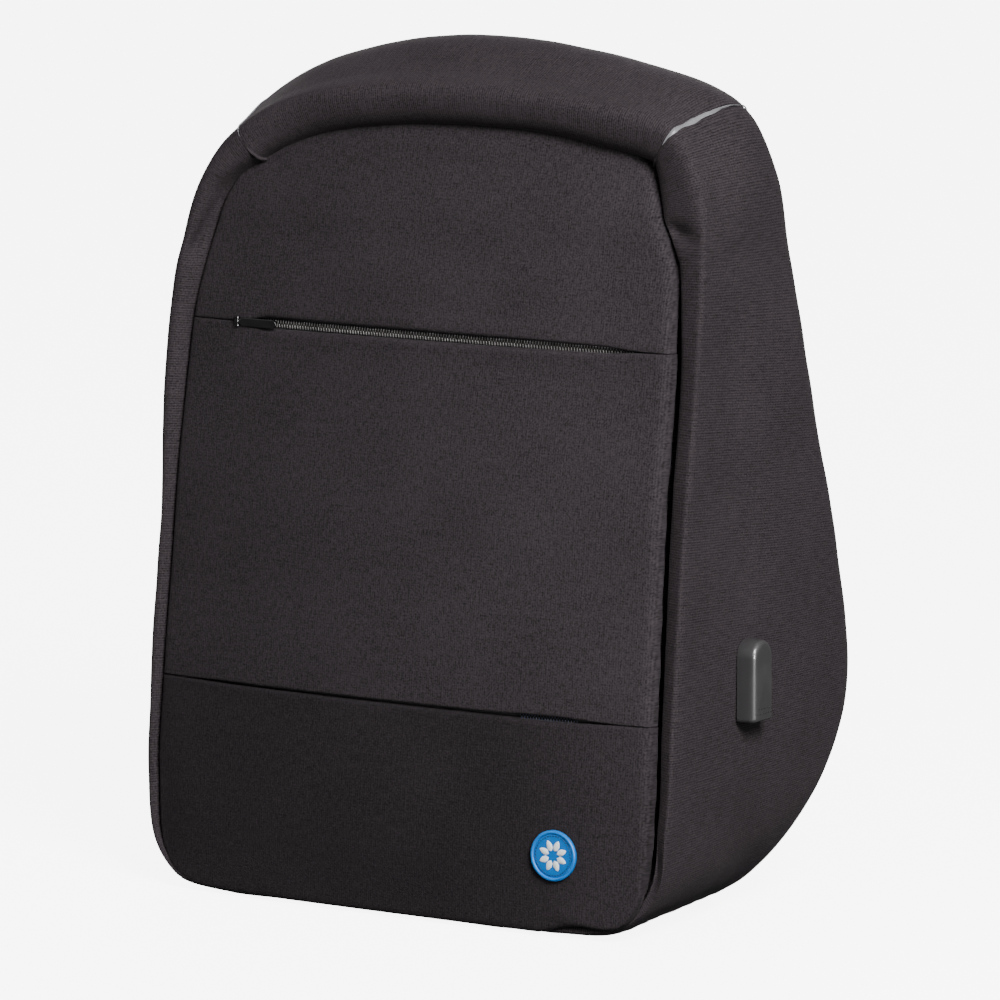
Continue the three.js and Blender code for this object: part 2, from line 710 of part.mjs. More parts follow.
// Pull tab: an eye round the pin and a flat tab beyond the lugs.
function pullSolid() {
  const eyeHeight = SLIDER_HEIGHT - 2 * LUG_THICK - 2 * CLEAR;
  const hole = barZ(PIN_RADIUS + CLEAR, SLIDER_HEIGHT, 0, 0);
  const neck = LUG_RADIUS + 3 * CLEAR;
  const reach = neck + PULL_THICK;
  let solid = toManifold(barZ(LUG_RADIUS, eyeHeight, 0, 0));
  solid = solid.add(toManifold(box(reach, PULL_THICK, eyeHeight, reach / 2, 0, 0)));
  const tab = new THREE.Shape();
  const half = PULL_HEIGHT / 2;
  const end = PULL_LENGTH - half;
  tab.moveTo(neck, -half);
  tab.lineTo(end, -half);
  tab.absarc(end, 0, half, -Math.PI / 2, Math.PI / 2, false);
  tab.lineTo(neck, half);
  const plate = new THREE.ExtrudeGeometry(tab, { depth: PULL_THICK, bevelEnabled: false, curveSegments: 8 });
  plate.rotateX(Math.PI / 2).translate(0, PULL_THICK / 2, 0);
  return fromManifold(solid.add(toManifold(plate)).subtract(toManifold(hole)));
}

const sliderFrame = frontFrame(SLIDER_INSET - HALF_WIDTH, UPPER_ZIP_HEIGHT, sliderBack, true);
sliderFrame.add(mesh("zip_slider", sliderSolid(), ZIP_BLACK));
const pull = mesh("zip_pull", pullSolid(), ZIP_BLACK);
pull.position.y = -pinAhead;
sliderFrame.add(pull);
bag.add(sliderFrame);

// Badge: a low disc with a raised rim standing round it.
function badgeRim() {
  const outer = BADGE_RADIUS;
  const inner = BADGE_RADIUS - BADGE_RIM;
  const high = BADGE_THICK + BADGE_RIM_RISE;
  const bevel = BADGE_RIM_RISE;
  const profile = [
    [inner, 0],
    [outer, 0],
    [outer, high - bevel],
    [outer - bevel, high],
    [inner + bevel, high],
    [inner, high - bevel],
    [inner, 0],
  ].map(([x, y]) => new THREE.Vector2(x, y));
  return fromManifold(toManifold(new THREE.LatheGeometry(profile, 40).rotateX(Math.PI)));
}

// Moves a frame forward until a disc on it stands clear of the panel behind.
function standOff(frame, panel, radius) {
  const into = new THREE.Vector3(0, 1, 0).applyQuaternion(frame.quaternion);
  const around = 24;
  let forward = 0;
  for (let i = 0; i < around; i += 1) {
    for (const part of [0.3, 0.65, 1]) {
      const angle = (2 * Math.PI * i) / around;
      const spot = new THREE.Vector3(Math.cos(angle), 0, Math.sin(angle)).multiplyScalar(radius * part);
      const from = spot.applyQuaternion(frame.quaternion).add(frame.position).addScaledVector(into, -radius);
      forward = Math.max(forward, radius - surfaceHit(panel, from, into).distance);
    }
  }
  frame.position.addScaledVector(into, -forward - CLEAR);
}

const badgeFrame = frontFrame(HALF_WIDTH - BADGE_INSET, BADGE_HEIGHT, 0, false);
lower.updateMatrixWorld(true);
standOff(badgeFrame, lower, BADGE_RADIUS);
const badgeDisc = new THREE.CylinderGeometry(
  BADGE_RADIUS - BADGE_RIM - CLEAR,
  BADGE_RADIUS - BADGE_RIM - CLEAR,
  BADGE_THICK,
  40,
);
badgeFrame.add(mesh("badge_disc", badgeDisc.translate(0, -BADGE_THICK / 2, 0), RUBBER_BLUE));
badgeFrame.add(mesh("badge_rim", badgeRim(), RUBBER_RIM));
bag.add(badgeFrame);

// Charging port: an arched housing with a socket that opens downward.
function portSolid() {
  const half = PORT_WIDTH / 2;
  const outline = new THREE.Shape();
  outline.moveTo(-half, 0);
  outline.lineTo(half, 0);
  outline.lineTo(half, PORT_HEIGHT - half);
  outline.absarc(0, PORT_HEIGHT - half, half, 0, Math.PI, false);
  const bevel = 2.5;
  const shell = new THREE.ExtrudeGeometry(outline, {
    depth: PORT_THICK - bevel,
    bevelEnabled: true,
    bevelThickness: bevel,
    bevelSize: bevel,
    bevelOffset: -bevel,
    bevelSegments: 3,
    curveSegments: 12,
  });
  const backCut = box(PORT_WIDTH * 2, PORT_HEIGHT * 4, bevel * 2, 0, 0, -bevel);
  const socketMiddle = PORT_THICK / 2 + CLEAR;
  const socket = box(PORT_SOCKET_WIDTH, PORT_SOCKET_DEPTH * 2, PORT_SOCKET_THICK, 0, 0, socketMiddle);
  return fromManifold(toManifold(shell).subtract(toManifold(backCut)).subtract(toManifold(socket)));
}

// Gap that lets a flat back stand off a curved wall at its closest point.
function seatAgainst(target, samples, direction) {
  return Math.max(...samples.map((point) => surfaceHit(target, point, direction).point.dot(direction) * -1));
}

const outwardX = new THREE.Vector3(1, 0, 0);
const portSamples = [];
for (const across of [-0.5, 0, 0.5]) {
  for (const up of [0, 0.25, 0.5, 0.75, 1]) {
    const y = PORT_DEPTH_AT + across * PORT_WIDTH;
    portSamples.push(new THREE.Vector3(2 * HALF_WIDTH, y, PORT_BOTTOM + up * PORT_HEIGHT));
  }
}
sideRight.updateMatrixWorld(true);
const port = mesh("charging_port", portSolid(), PLASTIC);
port.quaternion.setFromRotationMatrix(
  new THREE.Matrix4().makeBasis(new THREE.Vector3(0, 1, 0), new THREE.Vector3(0, 0, 1), outwardX),
);
const portSeat = seatAgainst(sideRight, portSamples, outwardX.clone().negate());
port.position.set(portSeat + CLEAR, PORT_DEPTH_AT, PORT_BOTTOM);
bag.add(port);

// Shoulder straps, their lower webbing and adjusters, and the grab handle, all behind the back.
back.updateMatrixWorld(true);
function onBack(x, z, lift) {
  const hit = surfaceHit(back, new THREE.Vector3(x, 3 * DEPTH, z), new THREE.Vector3(0, -1, 0));
  return new THREE.Vector3(x, hit.point.y + lift, z);
}

const STRAP_ROUTE = table(
  ["x", "z", "lift"],
  [0.3, 0.84, 0.67],
  [0.31, 0.815, 0.85],
  [0.335, 0.775, 1.6],
  [0.38, 0.71, 2.9],
  [0.42, 0.64, 3.8],
  [0.47, 0.56, 4.1],
  [0.51, 0.48, 3.6],
  [0.525, 0.41, 2.9],
);
const HANDLE_ROUTE = table(
  ["x", "rise", "lift"],
  [-1, 0, 0.66],
  [-0.82, 0.1, 0.8],
  [-0.6, 0.9, 3.4],
  [0, 1.4, 4.4],
  [0.6, 0.9, 3.4],
  [0.82, 0.1, 0.8],
  [1, 0, 0.66],
);
const WEBBING_ROUTE = table(
  ["x", "z", "lift"],
  [0.535, 0.335, 2.3],
  [0.55, 0.295, 1.8],
  [0.565, 0.25, 1.2],
  [0.58, 0.215, 0.9],
  [0.585, 0.19, 0.8],
);

// Smooth path behind the back; lift is a share of the strap's thickness.
function routePath(route, side, steps) {
  const points = route.map((row) => {
    return onBack(side * row.x * HALF_WIDTH, row.z * BACK_HEIGHT, row.lift * STRAP_THICK);
  });
  return new THREE.CatmullRomCurve3(points, false, "centripetal").getPoints(steps);
}

// Ladder buckle on a strap's end: a plate with two slots across it.
function adjusterSolid() {
  const opening = ADJUSTER_WIDTH - 2 * ADJUSTER_BAR;
  let plate = toManifold(box(ADJUSTER_WIDTH, ADJUSTER_THICK, ADJUSTER_LENGTH, 0, 0, 0));
  for (const z of [-1, 1]) {
    const slot = box(opening, 2 * ADJUSTER_THICK, ADJUSTER_SLOT, 0, 0, (z * ADJUSTER_LENGTH) / 4);
    plate = plate.subtract(toManifold(slot));
  }
  return fromManifold(plate);
}

for (const [name, side] of [["right", 1], ["left", -1]]) {
  const acrossX = (path) => path.map(() => outwardX);
  const strap = routePath(STRAP_ROUTE, side, 14);
  const pad = band(strap, acrossX(strap), STRAP_WIDTH, STRAP_THICK, 3);
  bag.add(mesh(`shoulder_strap_${name}`, pad, LINED_BACK));
  const end = strap.at(-1);
  const along = end.clone().sub(strap.at(-2)).normalize();
  const buckle = mesh(`strap_adjuster_${name}`, adjusterSolid(), PLASTIC);
  buckle.position.copy(end).addScaledVector(along, ADJUSTER_LENGTH / 2 + CLEAR);
  const up = along.clone().negate();
  const square = outwardX.clone().addScaledVector(up, -outwardX.dot(up)).normalize();
  buckle.quaternion.setFromRotationMatrix(
    new THREE.Matrix4().makeBasis(square, new THREE.Vector3().crossVectors(up, square), up),
  );
  bag.add(buckle);
  const webbing = routePath(WEBBING_ROUTE, side, 8);
  webbing[0].copy(end).addScaledVector(along, ADJUSTER_LENGTH + 3 * CLEAR);
  const tail = band(webbing, acrossX(webbing), WEBBING_WIDTH, WEBBING_THICK, 0.5);
  bag.add(mesh(`lower_webbing_${name}`, tail, WEBBING));
}

// Grab handle: a padded loop lying on the back below the hood.
const handleHeight = BACK_HEIGHT - HANDLE_DROP;
function handlePath() {
  const points = HANDLE_ROUTE.map((row) => {
    const height = handleHeight + row.rise * HANDLE_THICK;
    return onBack(row.x * HANDLE_SPAN, height, row.lift * HANDLE_THICK);
  });
  return new THREE.CatmullRomCurve3(points, false, "centripetal").getPoints(16);
}
const handle = handlePath();
const aboveHandle = onBack(0, handleHeight + HANDLE_THICK, 0);
const backSlope = aboveHandle.sub(onBack(0, handleHeight - HANDLE_THICK, 0));
const handleSides = handle.map(() => backSlope.clone().normalize());
bag.add(mesh("grab_handle", band(handle, handleSides, HANDLE_WIDTH, HANDLE_THICK, 1.5), WEBBING));

bag.position.y = -BASE_CENTRE;
export default bag;
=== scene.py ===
"""Laptop backpack in padded polyester, with zips, a badge, a charging port and shoulder straps."""
import logging
import math
from collections.abc import Sequence
from dataclasses import dataclass, field
from enum import Enum

import bmesh
import bpy
import numpy as np
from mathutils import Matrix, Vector, noise
from mathutils.bvhtree import BVHTree


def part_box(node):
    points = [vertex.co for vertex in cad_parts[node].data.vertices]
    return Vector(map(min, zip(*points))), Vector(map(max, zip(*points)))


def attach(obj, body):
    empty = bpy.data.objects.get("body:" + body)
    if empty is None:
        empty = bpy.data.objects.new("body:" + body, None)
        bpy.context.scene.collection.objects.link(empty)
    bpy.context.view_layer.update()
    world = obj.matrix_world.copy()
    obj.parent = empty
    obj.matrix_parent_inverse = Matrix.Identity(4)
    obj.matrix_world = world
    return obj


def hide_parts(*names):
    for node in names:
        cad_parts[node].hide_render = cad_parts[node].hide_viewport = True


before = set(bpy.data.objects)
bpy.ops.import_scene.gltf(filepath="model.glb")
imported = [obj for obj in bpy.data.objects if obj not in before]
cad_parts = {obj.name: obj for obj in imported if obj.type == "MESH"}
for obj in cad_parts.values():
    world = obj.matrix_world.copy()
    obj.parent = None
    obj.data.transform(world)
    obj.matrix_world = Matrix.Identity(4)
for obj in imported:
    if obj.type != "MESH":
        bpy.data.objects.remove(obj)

LOG = logging.getLogger("backpack")
MM = 0.001
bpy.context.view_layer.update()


class Side(Enum):
    """Side of the bag as seen from the front."""

    RIGHT = 1
    LEFT = -1

    @property
    def word(self) -> str:
        """Name of the side as the CAD nodes spell it."""
        return self.name.lower()


# Finishes


def linear(code: str) -> tuple[float, float, float, float]:
    """Turn an sRGB hex value into a linear colour.

    Args:
        code: Colour as "#rrggbb".

    Returns:
        Linear red, green and blue with an alpha of 1.
    """
    parts = [int(code[i : i + 2], 16) / 255 for i in (1, 3, 5)]
    out = [c / 12.92 if c <= 0.04045 else ((c + 0.055) / 1.055) ** 2.4 for c in parts]
    return (out[0], out[1], out[2], 1.0)


def add(
    tree: bpy.types.NodeTree, kind: str, inputs: dict | None = None, **settings: object
) -> bpy.types.Node:
    """Add a node with its settings and links.

    Args:
        tree: Node tree that gets the node.
        kind: Blender's type name of the node.
        inputs: Input name or index, with a value or the output socket that feeds it.
        settings: Properties of the node.

    Returns:
        The new node.
    """
    node = tree.nodes.new(kind)
    for key, value in settings.items():
        setattr(node, key, value)
    for key, value in (inputs or {}).items():
        if isinstance(value, bpy.types.NodeSocket):
            tree.links.new(value, node.inputs[key])
        else:
            node.inputs[key].default_value = value
    return node


def new_material(name: str) -> tuple[bpy.types.Material, bpy.types.NodeTree]:
    """Make an empty node material.

    Args:
        name: Name of the material.

    Returns:
        The material and its node tree.
    """
    material = bpy.data.materials.new(name)
    material.use_nodes = True
    material.node_tree.nodes.clear()
    return material, material.node_tree


def close_material(tree: bpy.types.NodeTree, shader: bpy.types.Node) -> None:
    """Link a shader to the material's output."""
    add(tree, "ShaderNodeOutputMaterial", {"Surface": shader.outputs[0]})


@dataclass(frozen=True)
class Finish:
    """A surface that varies between two colours, with a relief."""

    name: str
    dark: str
    light: str

    def make(self) -> bpy.types.Material:
        """Build the material.

        Returns:
            The new material.
        """
        material, tree = new_material(self.name)
        self.nodes(tree)
        return material

    def nodes(self, tree: bpy.types.NodeTree) -> None:
        """Add the nodes of this kind of finish."""
        raise NotImplementedError

    def close(
        self,
        tree: bpy.types.NodeTree,
        tone: bpy.types.NodeSocket,
        height: bpy.types.NodeSocket,
        relief: tuple[float, float],
        shader: dict,
        painted_shade_scale: bpy.types.NodeSocket | None = None,
    ) -> None:
        """Mix the colours by a tone, darken them by any painted shade, raise the relief and close
        the material.

        Args:
            tree: Node tree to close.
            tone: Share of the light colour.
            height: Height of the relief.
            relief: Strength of the relief, and its depth in millimetres.
            shader: Settings and links of the shader.
            painted_shade_scale: Painted shade, the brightness of the colour where it changes over
                the cloth.
        """
        inputs = {"Factor": tone, 6: linear(self.dark), 7: linear(self.light)}
        colour = add(tree, "ShaderNodeMix", inputs, data_type="RGBA").outputs[2]
        # Painted shade: the colour is scaled darker where the shade is given
        if painted_shade_scale is not None:
            inputs = {0: colour, "Scale": painted_shade_scale}
            colour = add(tree, "ShaderNodeVectorMath", inputs, operation="SCALE").outputs[0]
        inputs = {"Height": height, "Strength": relief[0], "Distance": relief[1] * MM}
        bump = add(tree, "ShaderNodeBump", inputs)
        links = {"Base Color": colour, "Normal": bump.outputs[0]}
        close_material(tree, add(tree, "ShaderNodeBsdfPrincipled", shader | links))


@dataclass(frozen=True)
class Heather(Finish):
    """Heathered polyester: dyed and undyed staple spun together and woven in fine ribs.

    The eye sees a charcoal that is never one flat grey, with threads that differ from rib to rib.
    """

    rib_mm: float = 1.35  # real thread spacing is 0.4 mm, drawn coarser so that the ribs show
    slub_mm: float = 9.0
    depth_mm: float = 0.16
    rib_share: float = 0.4
    slub_share: float = 0.6
    cross_share: float = 0.06
    sheen: float = 0.05
    # Painted shade: cloth coordinate where it is deepest, where it ends, and its share of the
    # colour there
    painted_shade_mm: tuple[float, float, float] = (0.0, 1.0, 1.0)

    def nodes(self, tree: bpy.types.NodeTree) -> None:
        """Weave ribs, slubs, flecks and blotches from the mesh's own cloth coordinates.

        Args:
            tree: Node tree of the material.
        """
        uv = add(tree, "ShaderNodeUVMap", uv_map="cloth").outputs[0]
        ways = add(tree, "ShaderNodeSeparateXYZ", {0: uv}).outputs
        per_metre, slub = 1000 / self.rib_mm, 1000 / self.slub_mm
        layers = []
        for way, share in ((ways[0], self.rib_share), (ways[1], self.cross_share)):
            inputs = {0: way, 1: 2 * math.pi * per_metre}
            turn = add(tree, "ShaderNodeMath", inputs, operation="MULTIPLY").outputs[0]
            wave = add(tree, "ShaderNodeMath", {0: turn}, operation="SINE").outputs[0]
            layers.append((wave, share * 0.5, 0.0))
        for across, along, seed, share in (
            (per_metre, slub, 0.0, self.slub_share),
            (slub * 0.8, per_metre, 7.3, self.cross_share * 3.4),
            (per_metre * 1.3, per_metre * 1.3, 3.1, 1.3),
            (22.0, 22.0, 11.7, 0.25),
        ):
            inputs = {0: uv, 1: (across, along, 0.0), 2: (0.0, 0.0, seed)}
            at = add(tree, "ShaderNodeVectorMath", inputs, operation="MULTIPLY_ADD").outputs[0]
            inputs = {"Vector": at, "Scale": 1.0, "Detail": 1.0}
            layers.append((add(tree, "ShaderNodeTexNoise", inputs).outputs[0], share, share * 0.5))
        height = 0.5 - sum(mean for _, _, mean in layers)
        for layer, share, _ in layers:
            inputs = {0: layer, 1: share, 2: height}
            height = add(tree, "ShaderNodeMath", inputs, operation="MULTIPLY_ADD").outputs[0]
        tone = add(tree, "ShaderNodeClamp", {0: height}).outputs[0]
        # Painted shade: the colour darkens smoothly toward low values of the cloth's first
        # coordinate
        low, high, share = self.painted_shade_mm
        inputs = {0: ways[0], 1: low * MM, 2: high * MM, 3: share, 4: 1.0}
        painted_shade_scale = add(tree, "ShaderNodeMapRange", inputs, interpolation_type="SMOOTHSTEP").outputs[0]
        shader = {
            "Roughness": 0.88,
            "Specular IOR Level": 0.14,
            "Sheen Weight": self.sheen,
            "Sheen Roughness": 0.45,
            "Sheen Tint": linear("#b9aeb6"),
        }
        self.close(tree, tone, height, (0.8, self.depth_mm), shader, painted_shade_scale)


@dataclass(frozen=True)
class Grained(Finish):
    """Moulded or lacquered plastic, rubber or enamel with a fine grain and slight wear.

    The eye sees an even gloss broken up by the grain and by a cloudiness from handling.
    """

    roughness: float = 0.4
    grain_mm: float = 0.5
    depth_mm: float = 0.03
    coat: float = 0.0

    def nodes(self, tree: bpy.types.NodeTree) -> None:
        """Draw the grain and the wear from the object's own coordinates.

        Args:
            tree: Node tree of the material.
        """
        place = add(tree, "ShaderNodeTexCoord").outputs["Object"]
        grain, cloud = (
            add(tree, "ShaderNodeTexNoise", {"Vector": place, "Scale": scale, "Detail": detail})
            for scale, detail in ((1000 / self.grain_mm, 2.0), (90.0, 3.0))
        )
        inputs = {0: cloud.outputs[0], 1: 0.45, 2: 0.75, 3: 0.0, 4: 0.6}
        wear = add(tree, "ShaderNodeMapRange", inputs)
        least = max(self.roughness - 0.06, 0.05)
        inputs = {0: cloud.outputs[0], 1: 0.3, 2: 0.8, 3: least, 4: self.roughness + 0.1}
        rough = add(tree, "ShaderNodeMapRange", inputs)
        shader = {
            "Roughness": rough.outputs[0],
            "Coat Weight": self.coat,
            "Coat Roughness": 0.12,
        }
        self.close(tree, wear.outputs[0], grain.outputs[0], (0.6, self.depth_mm), shader)


@dataclass(frozen=True)
class SpacerMesh(Finish):
    """Knitted spacer mesh: small open cells over foam, as on straps and back pads.

    The eye sees a soft dark grid of pits that catches light on the ridges between them.
    """

    cell_mm: float = 2.4
    depth_mm: float = 0.5

    def nodes(self, tree: bpy.types.NodeTree) -> None:
        """Knit the cells from the mesh's own cloth coordinates.

        Args:
            tree: Node tree of the material.
        """
        uv = add(tree, "ShaderNodeUVMap", uv_map="cloth").outputs[0]
        inputs = {"Vector": uv, "Scale": 1000 / self.cell_mm, "Randomness": 0.15}
        cells = add(tree, "ShaderNodeTexVoronoi", inputs, voronoi_dimensions="2D")
        inputs = {0: cells.outputs["Distance"], 1: 0.1, 2: 0.5, 3: 0.0, 4: 1.0}
        pit = add(tree, "ShaderNodeMapRange", inputs).outputs[0]
        cloud = add(tree, "ShaderNodeTexNoise", {"Vector": uv, "Scale": 35.0, "Detail": 3.0})
        inputs = {0: cloud.outputs[0], 1: 0.35, 2: pit}
        tone = add(tree, "ShaderNodeMath", inputs, operation="MULTIPLY_ADD")
        clamp = add(tree, "ShaderNodeClamp", {0: tone.outputs[0]})
        shader = {
            "Roughness": 0.9,
            "Specular IOR Level": 0.2,
            "Sheen Weight": 0.2,
            "Sheen Roughness": 0.5,
        }
        self.close(tree, clamp.outputs[0], pit, (0.9, self.depth_mm), shader)


@dataclass(frozen=True)
class Webbing(Finish):
    """Woven polyester webbing or zip tape: a tight herringbone across the band.

    The eye sees fine slanting ribs with a soft sheen.
    """

    rib_mm: float = 1.2

    def nodes(self, tree: bpy.types.NodeTree) -> None:
        """Weave the ribs from the object's own coordinates.

        Args:
            tree: Node tree of the material.
        """
        place = add(tree, "ShaderNodeTexCoord").outputs["Object"]
        # Blender draws a wave's bands 20 to the unit
        inputs = {"Vector": place, "Scale": 1000 / self.rib_mm / 20, "Distortion": 0.6}
        inputs["Detail Scale"] = 4.0
        ribs = add(tree, "ShaderNodeTexWave", inputs, bands_direction="DIAGONAL")
        fleck = add(tree, "ShaderNodeTexNoise", {"Vector": place, "Scale": 900.0})
        inputs = {0: ribs.outputs["Fac"], 1: fleck.outputs[0]}
        tone = add(tree, "ShaderNodeMath", inputs, operation="MULTIPLY").outputs[0]
        self.close(tree, tone, tone, (0.7, 0.3), {"Roughness": 0.75, "Sheen Weight": 0.15})


# Walls: the weave runs round the bag, so the light breaks on level ribs at the sides
SHELL_CLOTH = Heather("heathered_polyester_shell", "#141113", "#3f383c")
# Front: the same yarn in a finer weave, with painted shade that deepens its colour toward the left
# edge
FRONT_CLOTH = Heather(
    "heathered_polyester_front", "#141113", "#3e383c", slub_mm=4.5, rib_share=0.2,
    slub_share=0.7, painted_shade_mm=(40, 300, 0.8),
)
# Lower pocket: the same cloth in darker colours as painted shade, deeper still toward its left
# side, which the eye sees as a band of its own
POCKET_CLOTH_PAINTED_SHADE = Heather(
    "heathered_polyester_pocket", "#110e10", "#393337", slub_mm=4.5, rib_share=0.2,
    slub_share=0.7, painted_shade_mm=(270, 345, 0.62),
)
# Back, straps and webbing: black polyester that drinks the light
BACK_MESH = SpacerMesh("polyester_spacer_mesh", "#0c0b0d", "#2c292d")
BAND = Webbing("polyester_webbing", "#0d0c0e", "#2d2a2f")
ZIP_TAPE = Webbing("woven_zip_tape", "#09090b", "#1f1e21", rib_mm=0.9)
# Coils: extruded nylon, so each tooth has a small bright glint
GREY_COIL = Grained("nylon_coil_natural", "#5c5a58", "#7a7774", 0.3, grain_mm=0.3)
BLUE_COIL = Grained("nylon_coil_dyed", "#1b2947", "#2a3d66", 0.35, grain_mm=0.3)
BLACK_COIL = Grained("nylon_coil_black", "#131315", "#242427", 0.35, grain_mm=0.3)
# Slider and pull: enamel baked on cast zinc, almost a black mirror
ENAMEL = Grained("black_enamel_on_zinc", "#070708", "#121213", 0.13, grain_mm=0.9, coat=0.8)
# Port and adjusters: spark-eroded mould, a satin grey with a soft line of light on its edges
HOUSING = Grained(
    "moulded_abs_satin", "#353435", "#3d3c3d", 0.42, grain_mm=0.45, depth_mm=0.04, coat=0.7
)
# Vents and socket: the same plastic in deep shade, read as black slots
VENT = Grained("shadowed_abs", "#050505", "#0a0a0a", 0.6)
# Badge: soft moulded rubber poured colour by colour, saturated with a wet-looking edge
RIM_RUBBER = Grained("pvc_rubber_azure", "#0074cc", "#007bd0", 0.36, grain_mm=0.4)
FIELD_RUBBER = Grained("pvc_rubber_mid_blue", "#0068b8", "#006fbe", 0.36, grain_mm=0.35)
DASH_RUBBER = Grained("pvc_rubber_deep_blue", "#003258", "#003a66", 0.5)
WHITE_RUBBER = Grained("pvc_rubber_white", "#f1f4f4", "#dfe6e8", 0.5)
# Reflective tape: glass beads on grey foil, silver when the light is near the eye
REFLECTOR = Grained("glass_bead_reflective_tape", "#77777a", "#98989c", 0.38, grain_mm=0.25)
# Stitches: thick thread, each with a small dull light along its top
THREAD = Grained("polyester_thread", "#232024", "#353136", 0.6, grain_mm=0.3)


# Mesh making


def to_metres(points: np.ndarray) -> np.ndarray:
    """Turn the bag's own millimetres into the frame's metres."""
    return (np.asarray(points, float) - (0.0, BagForm.base_centre, 0.0)) * MM


def from_metres(point: Sequence[float]) -> np.ndarray:
    """Turn a point of the frame into the bag's own millimetres."""
    return np.asarray(point, float) / MM + (0.0, BagForm.base_centre, 0.0)


def run_along(path: np.ndarray) -> np.ndarray:
    """Distance of each point of a path from its first one, along the path."""
    return np.concatenate([[0], np.cumsum(np.linalg.norm(np.diff(path, axis=0), axis=1))])


def along_at(path: np.ndarray, places: float | np.ndarray) -> np.ndarray:
    """Points of a path at distances along it."""
    run = run_along(path)
    return np.stack([np.interp(places, run, path[:, k]) for k in range(path.shape[1])], -1)


def grid_faces(rows: int, columns: int, start: int = 0, ring: bool = False) -> list[tuple]:
    """List the quads of a grid of vertices.

    Args:
        rows: Number of rows, one after another in the vertex list.
        columns: Number of vertices in a row.
        start: Index of the first vertex.
        ring: Whether each row closes on itself.

    Returns:
        Vertex indices of each quad.
    """
    last = columns if ring else columns - 1
    return [
        (
            start + r * columns + c,
            start + r * columns + (c + 1) % columns,
            start + (r + 1) * columns + (c + 1) % columns,
            start + (r + 1) * columns + c,
        )
        for r in range(rows - 1)
        for c in range(last)
    ]


def make_piece(
    name: str,
    points: np.ndarray,
    faces: Sequence[Sequence[int]],
    finish: bpy.types.Material,
    cloth: np.ndarray | None = None,
    body: str = "bag",
    replaces: Sequence[str] = (),
) -> bpy.types.Object:
    """Make a smooth mesh piece that rides on a body.

    Args:
        name: Name of the piece.
        points: Vertices in the bag's own millimetres.
        faces: Vertex indices of each face.
        finish: Material of the piece.
        cloth: Cloth coordinates of each vertex in millimetres, where the finish needs them.
        body: Body that the piece rides on.
        replaces: CAD nodes that the piece stands for.

    Returns:
        The new object.
    """
    mesh = bpy.data.meshes.new(name)
    mesh.from_pydata(to_metres(points).tolist(), [], [tuple(f) for f in faces])
    face_out(mesh)
    mesh.polygons.foreach_set("use_smooth", [True] * len(mesh.polygons))
    if cloth is not None:
        layer = mesh.uv_layers.new(name="cloth")
        corners = np.empty(len(mesh.loops), int)
        mesh.loops.foreach_get("vertex_index", corners)
        layer.data.foreach_set("uv", (np.asarray(cloth)[corners] * MM).ravel())
    mesh.materials.append(finish)
    return placed(mesh, body, replaces)


def placed(
    mesh: bpy.types.Mesh, body: str, replaces: Sequence[str]
) -> bpy.types.Object:
    """Put a finished mesh in the scene as a piece of its own name.

    Args:
        mesh: The mesh.
        body: Body that the piece rides on.
        replaces: CAD nodes that the piece stands for.

    Returns:
        The new object.
    """
    piece = bpy.data.objects.new(mesh.name, mesh)
    bpy.context.scene.collection.objects.link(piece)
    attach(piece, body)
    if replaces:
        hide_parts(*replaces)
    LOG.info("%s: %d faces", piece.name, len(mesh.polygons))
    return piece


def face_out(mesh: bpy.types.Mesh) -> None:
    """Turn a mesh's faces away from its middle, as a whole.

    Args:
        mesh: The mesh.
    """
    centres, normals, areas = (np.empty(len(mesh.polygons) * width) for width in (3, 3, 1))
    for key, values in (("center", centres), ("normal", normals), ("area", areas)):
        mesh.polygons.foreach_get(key, values)
    centres, normals = centres.reshape(-1, 3), normals.reshape(-1, 3)
    box = (centres.min(0) + centres.max(0)) / 2
    middle = box if is_closed(mesh) else np.array([0.0, 0.02, 0.22])
    if (((centres - middle) * normals).sum(1) * areas).sum() < 0:
        mesh.flip_normals()


def is_closed(mesh: bpy.types.Mesh) -> bool:
    """Tell whether every edge of a mesh has two faces."""
    return len(mesh.edges) * 2 == len(mesh.loops)


def bevelled_copy(
    node: str, width_mm: float, finish: bpy.types.Material, body: str = "bag"
) -> bpy.types.Object:
    """Make a rounded copy of a hard CAD solid that stands for it.

    Args:
        node: CAD node to copy.
        width_mm: Width of the rounding on its edges.
        finish: Material of the copy.
        body: Body that the copy rides on.

    Returns:
        The rounded copy.
    """
    source = bpy.data.objects[node]
    mesh = source.data.copy()
    mesh.materials.clear()
    mesh.materials.append(finish)
    work = bmesh.new()
    work.from_mesh(mesh)
    bmesh.ops.remove_doubles(work, verts=work.verts, dist=2e-6)
    bmesh.ops.dissolve_limit(
        work, angle_limit=math.radians(1.5), verts=work.verts, edges=work.edges
    )
    sharp = [e for e in work.edges if e.is_manifold and e.calc_face_angle(0) > math.radians(32)]
    bmesh.ops.bevel(
        work, geom=sharp, offset=width_mm * MM, segments=3, profile=0.5, affect="EDGES",
        clamp_overlap=True,
    )
    for face in work.faces:
        face.smooth = True
    work.to_mesh(mesh)
    work.free()
    mesh.name = node + "_finished"
    piece = placed(mesh, body, [node])
    shade = piece.modifiers.new("even_shading", "WEIGHTED_NORMAL")
    shade.keep_sharp = False
    return piece


